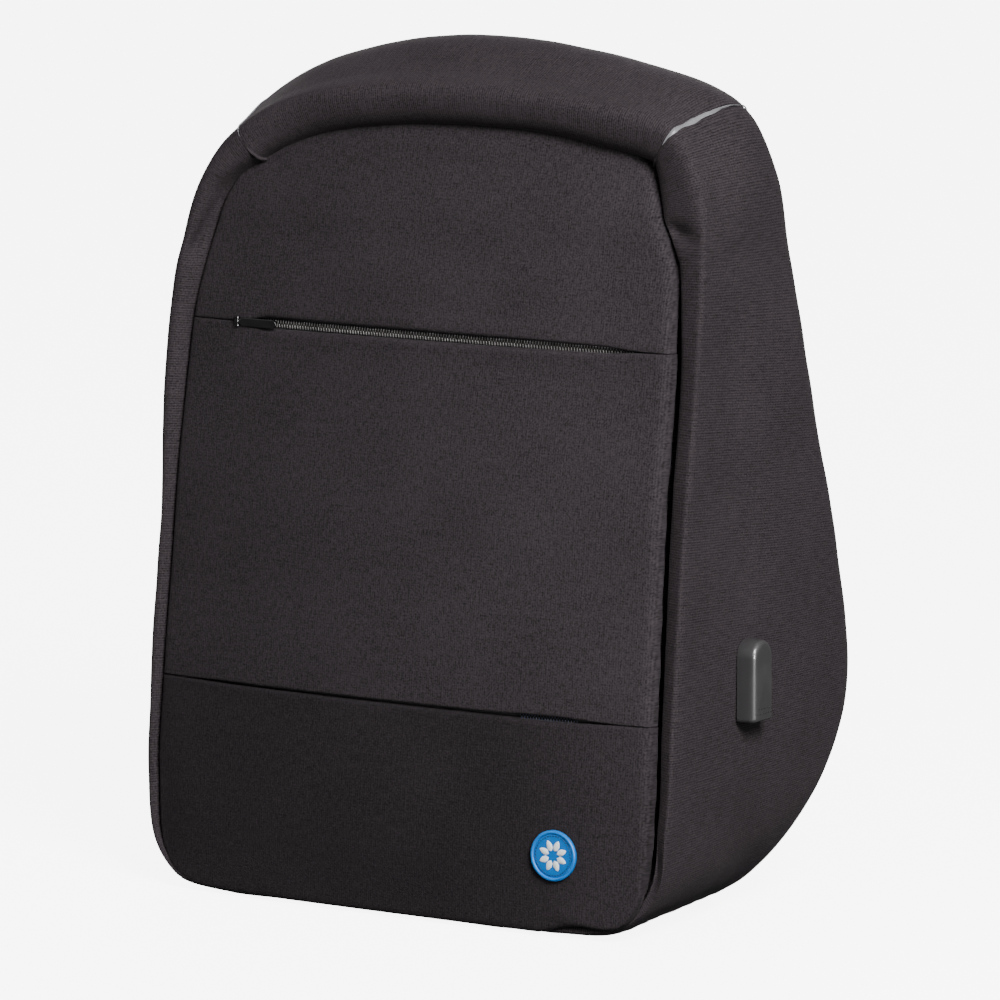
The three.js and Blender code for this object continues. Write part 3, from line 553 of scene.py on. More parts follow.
def swept(
    path: np.ndarray, sides: np.ndarray, outline: np.ndarray, widths: np.ndarray | None = None
) -> tuple[np.ndarray, list[tuple], np.ndarray]:
    """Sweep a closed outline along a path, with a flat cap at each end.

    Args:
        path: Points of the path in millimetres.
        sides: Direction of the band's width at each point.
        outline: Outline as shares along the width and the thickness, in millimetres.
        widths: Scale of the outline at each point.

    Returns:
        Vertices, faces and cloth coordinates.
    """
    count, around = len(path), len(outline)
    tangents = np.gradient(path, axis=0)
    tangents /= np.linalg.norm(tangents, axis=1)[:, None]
    points, cloth = [], []
    run = run_along(path)
    girth = run_along(outline)
    for i in range(count):
        side = sides[i] - tangents[i] * sides[i].dot(tangents[i])
        side /= np.linalg.norm(side)
        up = np.cross(side, tangents[i])
        scale = 1.0 if widths is None else widths[i]
        points.append(path[i] + (outline[:, :1] * side + outline[:, 1:] * up) * scale)
        cloth.append(np.column_stack([girth, np.full(around, run[i])]))
    points = np.vstack(points + [path[:1], path[-1:]])
    cloth = np.vstack(cloth + [[[0, 0]], [[0, run[-1]]]])
    faces = grid_faces(count, around, ring=True)
    first, last = count * around, count * around + 1
    end = (count - 1) * around
    for c in range(around):
        after = (c + 1) % around
        faces.append((after, c, first))
        faces.append((end + c, end + after, last))
    return points, faces, cloth


def soft_outline(width: float, thick: float, power: float = 3.2, count: int = 28) -> np.ndarray:
    """Outline of a padded band: a superellipse, full in the middle and soft at the edges.

    Args:
        width: Whole width.
        thick: Whole thickness.
        power: How square it is.
        count: Number of points.

    Returns:
        Points as pairs across the width and the thickness.
    """
    turn = np.linspace(0, 2 * math.pi, count, endpoint=False)
    cos, sin = np.cos(turn), np.sin(turn)
    x = np.sign(cos) * np.abs(cos) ** (2 / power) * width / 2
    y = np.sign(sin) * np.abs(sin) ** (2 / 2.2) * thick / 2
    return np.column_stack([x, y])


def capsule(length: float, width: float, height: float) -> tuple[np.ndarray, list[tuple]]:
    """Small rounded bar along X, for coil teeth and stitches.

    Args:
        length: Whole length.
        width: Width along Z.
        height: Height along Y.

    Returns:
        Vertices round the bar's middle and their faces.
    """
    around = 8
    turn = np.linspace(0, 2 * math.pi, around, endpoint=False)
    rings = ((-0.5, 0.45), (-0.38, 0.9), (0.38, 0.9), (0.5, 0.45))
    points = np.array(
        [
            (x * length, math.sin(t) * r * height / 2, math.cos(t) * r * width / 2)
            for x, r in rings
            for t in turn
        ]
    )
    faces = grid_faces(len(rings), around, ring=True)
    faces.append(tuple(range(around))[::-1])
    faces.append(tuple(range((len(rings) - 1) * around, len(rings) * around)))
    return points, faces


def scattered(
    unit: tuple[np.ndarray, list[tuple]], places: Sequence[tuple[np.ndarray, np.ndarray]]
) -> tuple[np.ndarray, list[tuple]]:
    """Join many copies of a small shape.

    Args:
        unit: Vertices and faces of the small shape.
        places: A point and a 3 by 3 matrix of axes for each copy.

    Returns:
        Vertices and faces of all the copies.
    """
    points, faces = unit
    all_points = [points @ axes.T + at for at, axes in places]
    all_faces = [
        tuple(i + k * len(points) for i in face) for k in range(len(places)) for face in faces
    ]
    return np.vstack(all_points), all_faces


def axes_from(x: np.ndarray, y: np.ndarray) -> np.ndarray:
    """Matrix whose columns are an X direction, a Y direction made square to it and their Z.

    Args:
        x: X direction.
        y: Rough Y direction.

    Returns:
        The matrix.
    """
    x = x / np.linalg.norm(x)
    y = y - x * y.dot(x)
    y /= np.linalg.norm(y)
    return np.column_stack([x, y, np.cross(x, y)])


# Form of the bag


@dataclass(frozen=True)
class Fold:
    """Crease or dent in the cloth, along a line between two points.

    Attributes:
        start: First point in the bag's own millimetres.
        end: Last point.
        width: Distance at which it has faded.
        depth: How far it goes in; negative stands out.
    """

    start: tuple[float, float, float]
    end: tuple[float, float, float]
    width: float
    depth: float

    def at(self, points: np.ndarray) -> np.ndarray:
        """Depth of the fold at each of the points.

        Args:
            points: Places on the cloth.

        Returns:
            Depth at each of them.
        """
        a, b = np.array(self.start, float), np.array(self.end, float)
        line = b - a
        length = max(float(line.dot(line)), 1e-9)
        part = np.clip(((points - a) @ line) / length, 0, 1)
        away = np.linalg.norm(points - (a + part[:, None] * line), axis=1)
        return self.depth * np.exp(-((away / self.width) ** 2))


@dataclass
class Section:
    """Cross-section of the bag's wall at a station."""

    front: np.ndarray
    back: np.ndarray
    front_normal: np.ndarray
    back_normal: np.ndarray
    rim: float
    corner: float
    bulge: float
    lip: float


# Columns: share of the half width and of the height at the front, rim, share of the half width,
# depth and height at the back, back corner, bulge of the hood.
STATIONS: dict[str, tuple[float, ...]] = {
    "base_middle": (0, 0, 0.36, 0, 0.85, 0, 1.9, 0),
    "base_right": (0.58, 0, 0.36, 0.53, 0.84, 0, 1.85, 0),
    "toe_right": (0.83, 0.012, 0.36, 0.72, 0.82, 0.02, 1.6, 0),
    "foot_right": (0.955, 0.056, 0.42, 0.87, 0.84, 0.075, 1.35, 0),
    "low_right": (0.99, 0.135, 0.5, 0.955, 0.922, 0.15, 1.1, 0.05),
    "pocket_right": (0.995, 0.2585, 0.62, 0.98, 1, 0.255, 1, 0.12),
    "side_right": (0.995, 0.455, 0.75, 0.98, 0.94, 0.425, 1, 0.15),
    "zip_right": (1, 0.69, 0.85, 0.96, 0.8, 0.655, 1, 0.15),
    "shoulder_right": (0.99, 0.8, 0.95, 0.945, 0.74, 0.78, 1, 0.2),
    "bend_right": (0.965, 0.89, 1.15, 0.935, 0.68, 0.88, 0.95, 0.35),
    "corner_right": (0.86, 0.958, 1.15, 0.845, 0.63, 0.948, 0.9, 0.6),
    "hood_right": (0.6, 0.985, 1, 0.6, 0.61, 0.98, 0.9, 0.75),
    "top_middle": (0, 1, 1, 0, 0.61, 1, 0.9, 1),
    "hood_left": (-0.54, 0.975, 1, -0.56, 0.61, 0.972, 0.9, 0.78),
    "corner_left": (-0.77, 0.93, 0.95, -0.8, 0.62, 0.93, 0.9, 0.6),
    "bend_left": (-0.905, 0.873, 0.85, -0.9, 0.68, 0.87, 0.95, 0.35),
    "shoulder_left": (-0.975, 0.787, 0.75, -0.94, 0.74, 0.78, 1, 0.2),
    "zip_left": (-1.005, 0.69, 0.65, -0.96, 0.8, 0.655, 1, 0.15),
    "side_left": (-0.995, 0.455, 0.45, -0.98, 0.94, 0.425, 1, 0.15),
    "pocket_left": (-0.995, 0.2585, 0.4, -0.98, 1, 0.255, 1, 0.12),
    "low_left": (-0.985, 0.135, 0.38, -0.955, 0.922, 0.15, 1.1, 0.05),
    "foot_left": (-0.945, 0.052, 0.36, -0.87, 0.84, 0.075, 1.35, 0),
    "toe_left": (-0.83, 0.01, 0.36, -0.72, 0.82, 0.02, 1.6, 0),
    "base_left": (-0.62, 0, 0.36, -0.53, 0.84, 0, 1.85, 0),
}
STATION = {name: i for i, name in enumerate(STATIONS)}
ALL_ROUND = len(STATIONS)

# Columns: share of the height, recess of the front behind the rim, crown of the front.
FRONT_FORM = (
    (0, 0, 0.4),
    (0.13, 0.03, 1),
    (0.26, 0.08, 0.95),
    (0.46, 0.16, 0.9),
    (0.69, 0.4, 0.65),
    (0.82, 0.68, 0.4),
    (0.92, 0.95, 0.15),
    (1, 1, 0),
)


def smooth_column(rows: Sequence[Sequence[float]], value: float, key: int, column: int) -> float:
    """Read a column of a table between its rows, with a soft step from row to row.

    Args:
        rows: The table.
        value: Value to look up.
        key: Column that holds the values.
        column: Column to read.

    Returns:
        The value of the column.
    """
    i = 0
    while i < len(rows) - 2 and value > rows[i + 1][key]:
        i += 1
    a, b = rows[i], rows[i + 1]
    part = min(max((value - a[key]) / (b[key] - a[key]), 0.0), 1.0)
    part = part * part * (3 - 2 * part)
    return a[column] + (b[column] - a[column]) * part


@dataclass
class BagForm:
    """The bag's form: loops through the stations, and the places that they give."""

    base_centre = 70.0
    half_width: float = 170.0
    rim_height: float = 441.0
    back_height: float = 447.0
    depth: float = 206.0
    lean: float = 0.0963
    clear: float = 0.3
    rim_width: float = 20.0
    rim_shoulder: float = 15.0
    front_pad: float = 6.0
    recess: float = 17.0
    crown: float = 10.0
    hood_rise: float = 17.0
    corner: float = 26.0
    known: dict = field(default_factory=dict)

    def __post_init__(self) -> None:
        """Work out the points of the three loops."""
        rows = np.array(list(STATIONS.values()), float)
        z = rows[:, 1] * self.rim_height
        self.front_points = np.column_stack([rows[:, 0] * self.half_width, z * self.lean, z])
        self.back_points = rows[:, 3:6] * (self.half_width, self.depth, self.back_height)
        self.size_points = rows[:, [2, 6, 7]] * (self.rim_width, self.corner, self.hood_rise)

    @staticmethod
    def loop(points: np.ndarray, station: float) -> np.ndarray:
        """Point of a closed centripetal Catmull-Rom curve.

        Args:
            points: The curve's points.
            station: Place between them, counted from the first.

        Returns:
            The point.
        """
        count = len(points)
        first = math.floor(station)
        part = station - first
        p = [points[(first + k) % count] for k in (-1, 0, 1, 2)]
        gap = [float(((p[k + 1] - p[k]) ** 2).sum()) ** 0.25 for k in range(3)]
        gap[1] = gap[1] if gap[1] > 1e-4 else 1.0
        gap[0] = gap[0] if gap[0] > 1e-4 else gap[1]
        gap[2] = gap[2] if gap[2] > 1e-4 else gap[1]
        t1 = (p[1] - p[0]) / gap[0] - (p[2] - p[0]) / (gap[0] + gap[1]) + (p[2] - p[1]) / gap[1]
        t2 = (p[2] - p[1]) / gap[1] - (p[3] - p[1]) / (gap[1] + gap[2]) + (p[3] - p[2]) / gap[2]
        t1, t2 = t1 * gap[1], t2 * gap[1]
        c2 = -3 * p[1] + 3 * p[2] - 2 * t1 - t2
        c3 = 2 * p[1] - 2 * p[2] + t1 + t2
        return p[1] + t1 * part + c2 * part**2 + c3 * part**3

    def outward(self, points: np.ndarray, station: float) -> np.ndarray:
        """Outward direction of a loop in the plane of the front.

        Args:
            points: The loop.
            station: Place round the bag, counted in stations.

        Returns:
            Unit direction.
        """
        ahead, behind = self.loop(points, station + 0.05), self.loop(points, station - 0.05)
        normal = np.array([ahead[2] - behind[2], 0.0, behind[0] - ahead[0]])
        return normal / np.linalg.norm(normal)

    def section(self, station: float) -> Section:
        """Cross-section of the wall at a station.

        Args:
            station: Place round the bag, counted in stations.

        Returns:
            The cross-section.
        """
        key = round(station, 5)
        if key not in self.known:
            sizes = self.loop(self.size_points, station)
            front = self.loop(self.front_points, station)
            back = self.loop(self.back_points, station)
            front[2], back[2] = max(front[2], 0.0), max(back[2], 0.0)
            self.known[key] = Section(
                front,
                back,
                self.outward(self.front_points, station),
                self.outward(self.back_points, station),
                float(sizes[0]),
                float(sizes[1]),
                max(float(sizes[2]), 0.0),
                self.recess_at(front[2]) + self.front_pad,
            )
        return self.known[key]

    def recess_at(self, z: float) -> float:
        """Distance of the front panels behind the rim at a height."""
        return self.recess * smooth_column(FRONT_FORM, z / self.rim_height, 0, 1)

    def crown_at(self, z: float) -> float:
        """Crown of the front panels at a height."""
        return self.crown * smooth_column(FRONT_FORM, z / self.rim_height, 0, 2)

    def front_depth(self, x: float, z: float) -> float:
        """Depth of the front face at a point of the front."""
        across = min(abs(x) / (self.half_width - self.rim_width / 2), 1.0)
        return z * self.lean + self.recess_at(z) - self.crown_at(z) * (1 - across**2.4)

    def place(self, section: Section, inward: np.ndarray, y: np.ndarray) -> np.ndarray:
        """Points of a section, from their distance inward from the outer face and their depth.

        Args:
            section: Cross-section that the points lie in.
            inward: Distance of each point from the outer face.
            y: Depth of each point.

        Returns:
            The points.
        """
        inward, y = np.atleast_1d(inward).astype(float), np.atleast_1d(y).astype(float)
        run = section.back[1] - section.front[1]
        part = np.clip((y - section.front[1]) / run, 0, 1)[:, None]
        points = section.front * (1 - part) + section.back * part
        normals = section.front_normal * (1 - part) + section.back_normal * part
        normals /= np.linalg.norm(normals, axis=1)[:, None]
        points = points + normals * (self.rise(section, y) - inward)[:, None]
        points[:, 1] = y
        return points

    def rise(self, section: Section, y: np.ndarray) -> np.ndarray:
        """Height of the hood's swell over the straight face of a section, at each depth.

        Args:
            section: The section.
            y: Depths.

        Returns:
            Height at each depth.
        """
        run = section.back[1] - section.front[1] - self.rim_shoulder
        rising = (y - section.front[1] - self.rim_shoulder) / run
        return section.bulge * np.sin(math.pi * np.clip(rising, 0, 1))

    def opening_edge(self, station: float) -> np.ndarray:
        """Edge of the front opening at a station, as X and Z.

        Args:
            station: Place round the bag, counted in stations.

        Returns:
            The edge.
        """
        section = self.section(station)
        y = section.front[1] + section.lip
        reach = section.rim + 2 * self.clear
        edges = self.place(section, [reach, reach], [y - self.front_pad, y])
        spread = edges @ section.front_normal
        return edges[0 if spread[0] < spread[1] else 1][[0, 2]]

    def back_edge(self, station: float, extra: float) -> np.ndarray:
        """Edge of the back opening at a station, a distance in from the wall's back corner."""
        section = self.section(station)
        return self.place(section, section.corner + extra, section.back[1])[0]


FORM = BagForm()


def wander(points: np.ndarray, size: float, amount: float, seed: float) -> np.ndarray:
    """Soft unevenness of cloth over foam.

    Args:
        points: Points in millimetres.
        size: Size of a swell in millimetres.
        amount: Height of a swell.
        seed: Shift that gives another pattern.

    Returns:
        Height at each point.
    """
    shift = Vector((seed, seed * 0.7, -seed))
    return np.array([noise.noise(Vector(p / size) + shift) for p in points]) * amount


def grid_normals(points: np.ndarray, rows: int, columns: int) -> np.ndarray:
    """Normals of a grid of points, turned away from the bag's middle.

    Args:
        points: Points, row by row.
        rows: Number of rows.
        columns: Number of columns.

    Returns:
        Unit normal of each point.
    """
    grid = points.reshape(rows, columns, 3)
    normals = np.cross(np.gradient(grid, axis=1), np.gradient(grid, axis=0)).reshape(-1, 3)
    normals /= np.linalg.norm(normals, axis=1)[:, None] + 1e-12
    outward = points - np.array([0.0, 90.0, 220.0])
    if (normals * outward).sum() < 0:
        normals = -normals
    return normals


def taut(along: np.ndarray, height: np.ndarray) -> np.ndarray:
    """Height of cloth that is pulled straight across the hollows of an outline.

    Args:
        along: Rising places along the outline.
        height: Height of the outline at each place.

    Returns:
        Height of the cloth, softened where it meets the outline again.
    """
    kept = [0]
    for i in range(1, len(along)):
        while len(kept) > 1:
            a, b = kept[-2], kept[-1]
            slope = (height[b] - height[a]) * (along[i] - along[a])
            if slope > (height[i] - height[a]) * (along[b] - along[a]):
                break
            kept.pop()
        kept.append(i)
    straight = np.interp(along, along[kept], height[kept])
    return 0.85 * straight + 0.15 * height


def hem(distance: np.ndarray, radius: float) -> np.ndarray:
    """Drop of a turned-in edge: a quarter round that starts at a distance of one radius."""
    near = np.clip(1 - np.asarray(distance) / radius, 0, 1)
    return radius * (1 - np.sqrt(np.clip(1 - near**2, 0, 1)))


# Padded walls


@dataclass
class Shell:
    """The four walls, with the rolled rim in front and the rounded corner at the back."""

    form: BagForm
    step: float = 3.2
    seam_radius: float = 1.5
    roll_points: int = 26
    face_points: int = 46
    corner_points: int = 14
    # Distance inward and depth past the lip of the cloth that runs in behind the rim
    flange: tuple[tuple[float, float], ...] = ((26.0, 12.5), (8.0, 12.0), (1.0, 8.0), (0.0, 2.0))
    # Added width at which the rim lies on the front panels, and how deep it then dips
    overlap: float = 4.5
    overlap_dip: float = 2.0
    # Columns: station, width added to the rim, how far its crest lies back, how square it is, and
    # how much further its inner edge lies back than its outer edge.
    rim_shapes: tuple[tuple[float, ...], ...] = (
        (0, 0, 0, 0, 0), (2, -1, 3, 0, 1), (3.2, -2, 4, 0.4, 3), (4, -1, 1, 0.7, 5),
        (5, -1.5, 0.5, 1, 6), (6, -2, 1, 1, 6), (7, -2.5, 4, 1, 5), (8, -0.5, 6.5, 1, 5),
        (8.42, 5, 7, 0.8, 5), (8.6, 7, 6, 0.6, 5), (9, 7, 5, 0.5, 5), (9.5, 5, 4, 0.4, 5),
        (10, 3.5, 3, 0.35, 5), (11, 5.5, 0, 0.25, 5), (12, 6, 0, 0.2, 5), (13, 6, 0, 0.2, 5),
        (14, 4.5, 0, 0.3, 3), (15, 1, 0, 0, 0), (24, 0, 0, 0, 0),
    )
    folds: tuple[Fold, ...] = (
        # Pinch where the hood's rim meets the right side's rim
        Fold((146, 46, 368), (158, 40, 366), 4.5, 4.0),
        # Pocket in the left rim, with the roll standing out above it
        Fold((-134, 46, 364), (-149, 37, 344), 8.0, 6.0),
        Fold((-120, 42, 394), (-132, 38, 384), 6.0, -1.0),
        # Shallow sags of the right wall
        Fold((166, 60, 300), (168, 70, 200), 24.0, 1.6),
        Fold((168, 95, 250), (168, 120, 170), 20.0, -1.4),
        Fold((164, 60, 60), (150, 110, 30), 16.0, 1.4),
        # Puckers by the lower right corner
        Fold((150, 22, 8), (138, 60, 2), 6.0, 1.5),
        Fold((158, 10, 30), (163, 30, 60), 9.0, 1.2),
    )

    def profile(self, station: float) -> tuple[np.ndarray, np.ndarray]:
        """Outline of the wall from behind the rim, over it, along the face and round the back.

        Args:
            station: Station to outline.

        Returns:
            Distance inward and depth of each point.
        """
        section = self.form.section(station)
        rows = np.array(self.rim_shapes)
        extra, push, square, tilt = (
            float(np.interp(station % ALL_ROUND, rows[:, 0], rows[:, k])) for k in (1, 2, 3, 4)
        )
        over = min(max(extra, 0) / self.overlap, 1.0)
        y0, half = section.front[1], (section.rim + extra) / 2
        lip = section.lip - (self.form.front_pad - self.overlap_dip) * over
        shoulder = self.form.rim_shoulder
        turn = np.linspace(0, math.pi, self.roll_points)
        power = 2 / (2 + 2 * square)
        cos = np.sign(np.cos(turn)) * np.abs(np.cos(turn)) ** power
        roll = half + half * cos
        deep = np.where(turn < math.pi / 2, lip, shoulder)
        crest = push + tilt * roll / (2 * half)
        flange = np.array(self.flange) * (1 - over)
        inward = [2 * half + flange[:, 0], roll]
        y = [y0 + lip + flange[:, 1], y0 + deep - (deep - crest) * np.abs(np.sin(turn)) ** power]
        face_end = section.back[1] - section.corner
        face = np.linspace(y0 + shoulder, face_end, self.face_points)[1:]
        arc = np.linspace(0, math.pi / 2, self.corner_points)[1:]
        inward += [np.zeros(len(face)), section.corner * (1 - np.cos(arc)), [section.corner + 0.2]]
        y += [face, face_end + section.corner * np.sin(arc), [section.back[1] - 3.0]]
        inward, y = np.concatenate(inward), np.concatenate(y)
        first, last = len(flange) + self.roll_points // 2, len(y) - self.corner_points
        first += int(np.argmin(y[first:last]))
        rise = self.form.rise(section, y)
        inward[first:last] = rise[first:last] - taut(y[first:last], (rise - inward)[first:last])
        return inward, y

    def stations(self, start: float, end: float) -> tuple[np.ndarray, np.ndarray]:
        """Stations along a wall, closer together by the seams at its ends.

        Args:
            start: First station.
            end: Last station.

        Returns:
            The stations and their distances from the start in millimetres.
        """
        fine = np.linspace(start - 0.06, end + 0.06, 440)
        path = np.array([self.form.section(s).front for s in fine])
        run = run_along(path)
        run -= np.interp(start, fine, run)
        length = np.interp(end, fine, run)
        ends = np.array([-0.6, 0.2, 0.6, 1.0, 1.6, 2.4])
        middle = np.linspace(4.0, length - 4.0, max(int((length - 8.0) / self.step), 2))
        wanted = np.concatenate([ends, middle, (length - ends)[::-1]])
        return np.interp(wanted, run, fine), wanted

    def wall(
        self, name: str, start: float, end: float, finish: bpy.types.Material
    ) -> bpy.types.Object:
        """Build one wall between two stations.

        Args:
            name: CAD node that the wall stands for.
            start: First station.
            end: Last station.
            finish: Cloth of the wall.

        Returns:
            The wall.
        """
        stations, run = self.stations(start, end)
        edge = np.minimum(run, run[-1] + run[0] - run)
        columns, cloth = [], []
        for station, along, near in zip(stations, run, edge):
            section = self.form.section(station)
            inward, y = self.profile(station)
            sunk_in = hem(max(near, 0.0), self.seam_radius) + max(-near, 0.0)
            points = self.form.place(section, inward + sunk_in, y)
            columns.append(points)
            cloth.append(np.column_stack([np.full(len(points), along), run_along(points)]))
        points = np.vstack(columns)
        rows = len(columns[0])
        normals = grid_normals(points, len(columns), rows)
        inner = np.tile(np.arange(rows) < 8, len(columns))
        sunk = sum(fold.at(points) for fold in self.folds)
        calm = np.repeat(np.clip(edge / 12, 0, 1), rows)
        swell = wander(points, 62, 1.1, 3.7) + wander(points, 24, 0.35, 9.1)
        puckers = np.sin(points[:, 1] / 2.7 + wander(points, 15, 2.0, 4.4)) * 0.22
        puckers *= np.repeat(np.exp(-((edge / 5.0) ** 2)), rows)
        move = (swell * calm - sunk + puckers) * np.where(inner, 0.3, 1.0)
        points = points + normals * move[:, None]
        points[:, 2] = np.maximum(points[:, 2], 0.3)
        piece = make_piece(
            name + "_cloth", points, grid_faces(len(columns), rows), finish,
            np.vstack(cloth), replaces=[name],
        )
        return piece

    def build(self, cloth: bpy.types.Material) -> None:
        """Build the side, top and base walls.

        Args:
            cloth: Finish of the walls.
        """
        at = STATION
        self.wall("side_panel_right", at["toe_right"], at["corner_right"], cloth)
        self.wall("side_panel_left", at["corner_left"], at["toe_left"], cloth)
        self.wall("top_panel", at["corner_right"], at["corner_left"], cloth)
        self.wall("base_panel", at["toe_left"], at["toe_right"] + ALL_ROUND, cloth)


# Front panels


@dataclass
class FrontPanels:
    """The three padded panels of the front, with turned-in edges along the zips and the rim."""

    form: BagForm
    upper_zip: float = 306.0
    lower_zip: float = 114.0
    step: float = 4.0
    left_round: float = 4.0
    right_round: float = 6.5
    corner_round: float = 13.0
    inset: float = 0.9
    corner_gap: float = 12.0
    # The upper right corner rolls in under the hood, and the lower right one is pulled square
    corner_at: tuple[float, float] = (146.0, 394.0)
    corner_size: float = 32.0
    toe_at: tuple[float, float] = (134.0, 22.0)
    toe_size: float = 17.0
    toe_push: float = 6.5
    # The lower panel reaches over the base's rim
    overhang: float = 5.8
    # How far in from an edge its own shape fades, and how much the right edge wanders
    edge_fade: float = 9.0
    edge_wave: float = 0.9
    # Half the slit's height by the place across the bag
    slits: dict[str, tuple[tuple[float, float], ...]] = field(
        default_factory=lambda: {
            "upper": (
                (-170, 0.08), (-121, 0.1), (-112, 1.6), (-105, 3.0), (-96, 2.9), (-40, 2.6),
                (60, 2.3), (112, 1.7), (127, 0.5), (136, 0.1), (170, 0.08),
            ),
            "lower": (
                (-170, 0.2), (-138, 0.3), (-120, 0.75), (0, 0.8), (70, 0.8), (77, 1.3),
                (92, 1.4), (106, 1.2), (116, 0.7), (128, 0.3), (138, 0.1), (170, 0.08),
            ),
        }
    )
    folds: tuple[Fold, ...] = (
        # Drag lines from the hood's corners
        Fold((128, 50, 400), (100, 46, 360), 9.0, 1.1),
        Fold((-112, 48, 392), (-84, 44, 350), 9.0, 1.0),
        Fold((140, 44, 352), (132, 40, 322), 8.0, 0.8),
        # Tuck at the lower right corner
        Fold((100, 0, 9), (112, 1, 6), 2.2, 1.5),
        Fold((113, 0, 4), (122, 0, 3), 3.0, 1.2),
        Fold((104, 0, 14), (118, 2, 12), 5.0, -0.8),
        # Dip along the left edge of the lower pocket
        Fold((-150, 10, 60), (-152, 6, 20), 8.0, 1.6),
        # Slight hollow under the upper zip
        Fold((-110, 28, 292), (100, 28, 292), 9.0, 0.5),
    )

    def gap(self, x: float | np.ndarray, zip_name: str) -> np.ndarray:
        """Half the height of a zip's slit, wide over the zip and closed at the seam's ends.

        Args:
            x: Place along the slit.
            zip_name: Which zip, "upper" or "lower".

        Returns:
            Half the slit's height in millimetres.
        """
        return np.interp(x, *zip(*self.slits[zip_name]))

    def lip_round(self, x: np.ndarray, zip_name: str) -> np.ndarray:
        """Radius of the turned-in edge along a slit, tight where the seam is closed."""
        return (0.9 + 0.6 * self.gap(x, zip_name))[None, :]

    def side(self, start: float, end: float, low: float | None, high: float | None) -> np.ndarray:
        """Edge of the opening between two stations, cut off at heights where they are given.

        Args:
            start: First station.
            end: Last station.
            low: Height of the first point, or None.
            high: Height of the last point, or None.

        Returns:
            Points as X and Z.
        """
        count = max(int(abs(end - start) * 24), 8)
        points = np.array([self.form.opening_edge(s) for s in np.linspace(start, end, count)])
        if low is not None:
            x = np.interp(low, points[:, 1], points[:, 0])
            points = np.vstack([[x, low], points[points[:, 1] > low + 0.2]])
        if high is not None:
            x = np.interp(high, points[:, 1], points[:, 0])
            points = np.vstack([points[points[:, 1] < high - 0.2], [x, high]])
        return points

    @staticmethod
    def spaced(points: np.ndarray, wanted: np.ndarray) -> np.ndarray:
        """Points of an edge at given shares of its length."""
        return along_at(points, wanted * run_along(points)[-1])

    def shares(self, length: float) -> np.ndarray:
        """Shares of a length, close together near its ends.

        Args:
            length: Length of the edge.

        Returns:
            Shares from 0 to 1.
        """
        ends = np.array([0.0, 0.5, 1.1, 1.9, 2.9, 4.2, 6.0, 8.5])
        middle = np.linspace(12.0, length - 12.0, max(int((length - 24.0) / self.step), 2))
        return np.concatenate([ends, middle, (length - ends)[::-1]]) / length

    def panel(
        self,
        name: str,
        bottom: np.ndarray,
        top: np.ndarray,
        left: np.ndarray,
        right: np.ndarray,
        slits: tuple[str, str],
        finish: bpy.types.Material,
    ) -> bpy.types.Object:
        """Build one panel between its four edges.

        Args:
            name: CAD node that the panel stands for.
            bottom: Bottom edge from left to right, as X and Z.
            top: Top edge from left to right.
            left: Left edge from bottom to top.
            right: Right edge from bottom to top.
            slits: Zip along the bottom and along the top edge, or nothing.
            finish: Cloth of the panel.

        Returns:
            The panel.
        """
        width, height = run_along(bottom)[-1], run_along(left)[-1]
        us, vs = self.shares(width), self.shares(height)
        grid = self.patch(bottom, top, left, right, us, vs)
        rows, columns = grid.shape[:2]
        flat, x, z = grid.reshape(-1, 2), grid[..., 0], grid[..., 1]
        left_off, low_off = np.meshgrid(us * width, vs * height)
        right_off, high_off = np.meshgrid((1 - us) * width, (1 - vs) * height)
        wave = np.array([noise.noise(Vector((a / 60, 2.2, b / 13))) for a, b in flat])
        wave = self.inset + self.edge_wave * wave.reshape(rows, columns)
        x -= np.exp(-((right_off / self.edge_fade) ** 2)) * wave
        x += np.exp(-((left_off / self.edge_fade) ** 2)) * 0.5
        y = np.array([self.form.front_depth(a, b) for a, b in flat]).reshape(rows, columns)
        away = np.hypot(x - self.corner_at[0], z - self.corner_at[1])
        corner = np.exp(-((away / self.corner_size) ** 2))
        radius = self.right_round + (self.corner_round - self.right_round) * corner
        gap = self.corner_gap * corner
        drop = np.maximum(hem(left_off, self.left_round), hem(right_off - gap, radius))
        if slits[0]:
            drop = np.maximum(drop, hem(low_off, self.lip_round(x[0], slits[0])))
        else:
            reach = np.clip((118 - x[0]) / 25, 0, 1) * np.clip((x[0] + 158) / 14, 0, 1)
            z -= np.exp(-((low_off / 16) ** 2)) * (self.overhang * reach)[None, :]
            drop = np.maximum(drop, hem(low_off, 3.0))
            away = np.hypot(x - self.toe_at[0], z - self.toe_at[1])
            square = np.exp(-((away / self.toe_size) ** 2)) * self.toe_push
            x += square
            z -= square * 0.9
        if slits[1]:
            drop = np.maximum(drop, hem(high_off, self.lip_round(x[-1], slits[1])))
        else:
            drop = np.maximum(drop, hem(high_off - gap, 2.2 + 11.0 * corner))
        front = np.column_stack([flat[:, 0], (y + drop).ravel(), flat[:, 1]])
        nearest = np.minimum(np.minimum(left_off, right_off), np.minimum(low_off, high_off))
        calm = np.clip(nearest / 14, 0.15, 1)
        swell = (wander(front, 85, 1.2, 5.2) + wander(front, 34, 0.4, 8.8)) * calm.ravel()
        sunk = sum(fold.at(front) for fold in self.folds)
        front[:, 1] += sunk - swell
        back = front.copy()
        back[:, 1] = np.maximum((y + self.form.front_pad).ravel(), front[:, 1] + 1)
        faces = self.closed_faces(rows, columns)
        cloth = np.column_stack([flat[:, 0] + 200, flat[:, 1]])
        piece = make_piece(
            name + "_cloth", np.vstack([front, back]), faces, finish,
            np.vstack([cloth, cloth]), replaces=[name],
        )
        Padding(pressure=1.6, cap_mm=2.0).swell(piece, free=self.inner(rows, columns))
        return piece

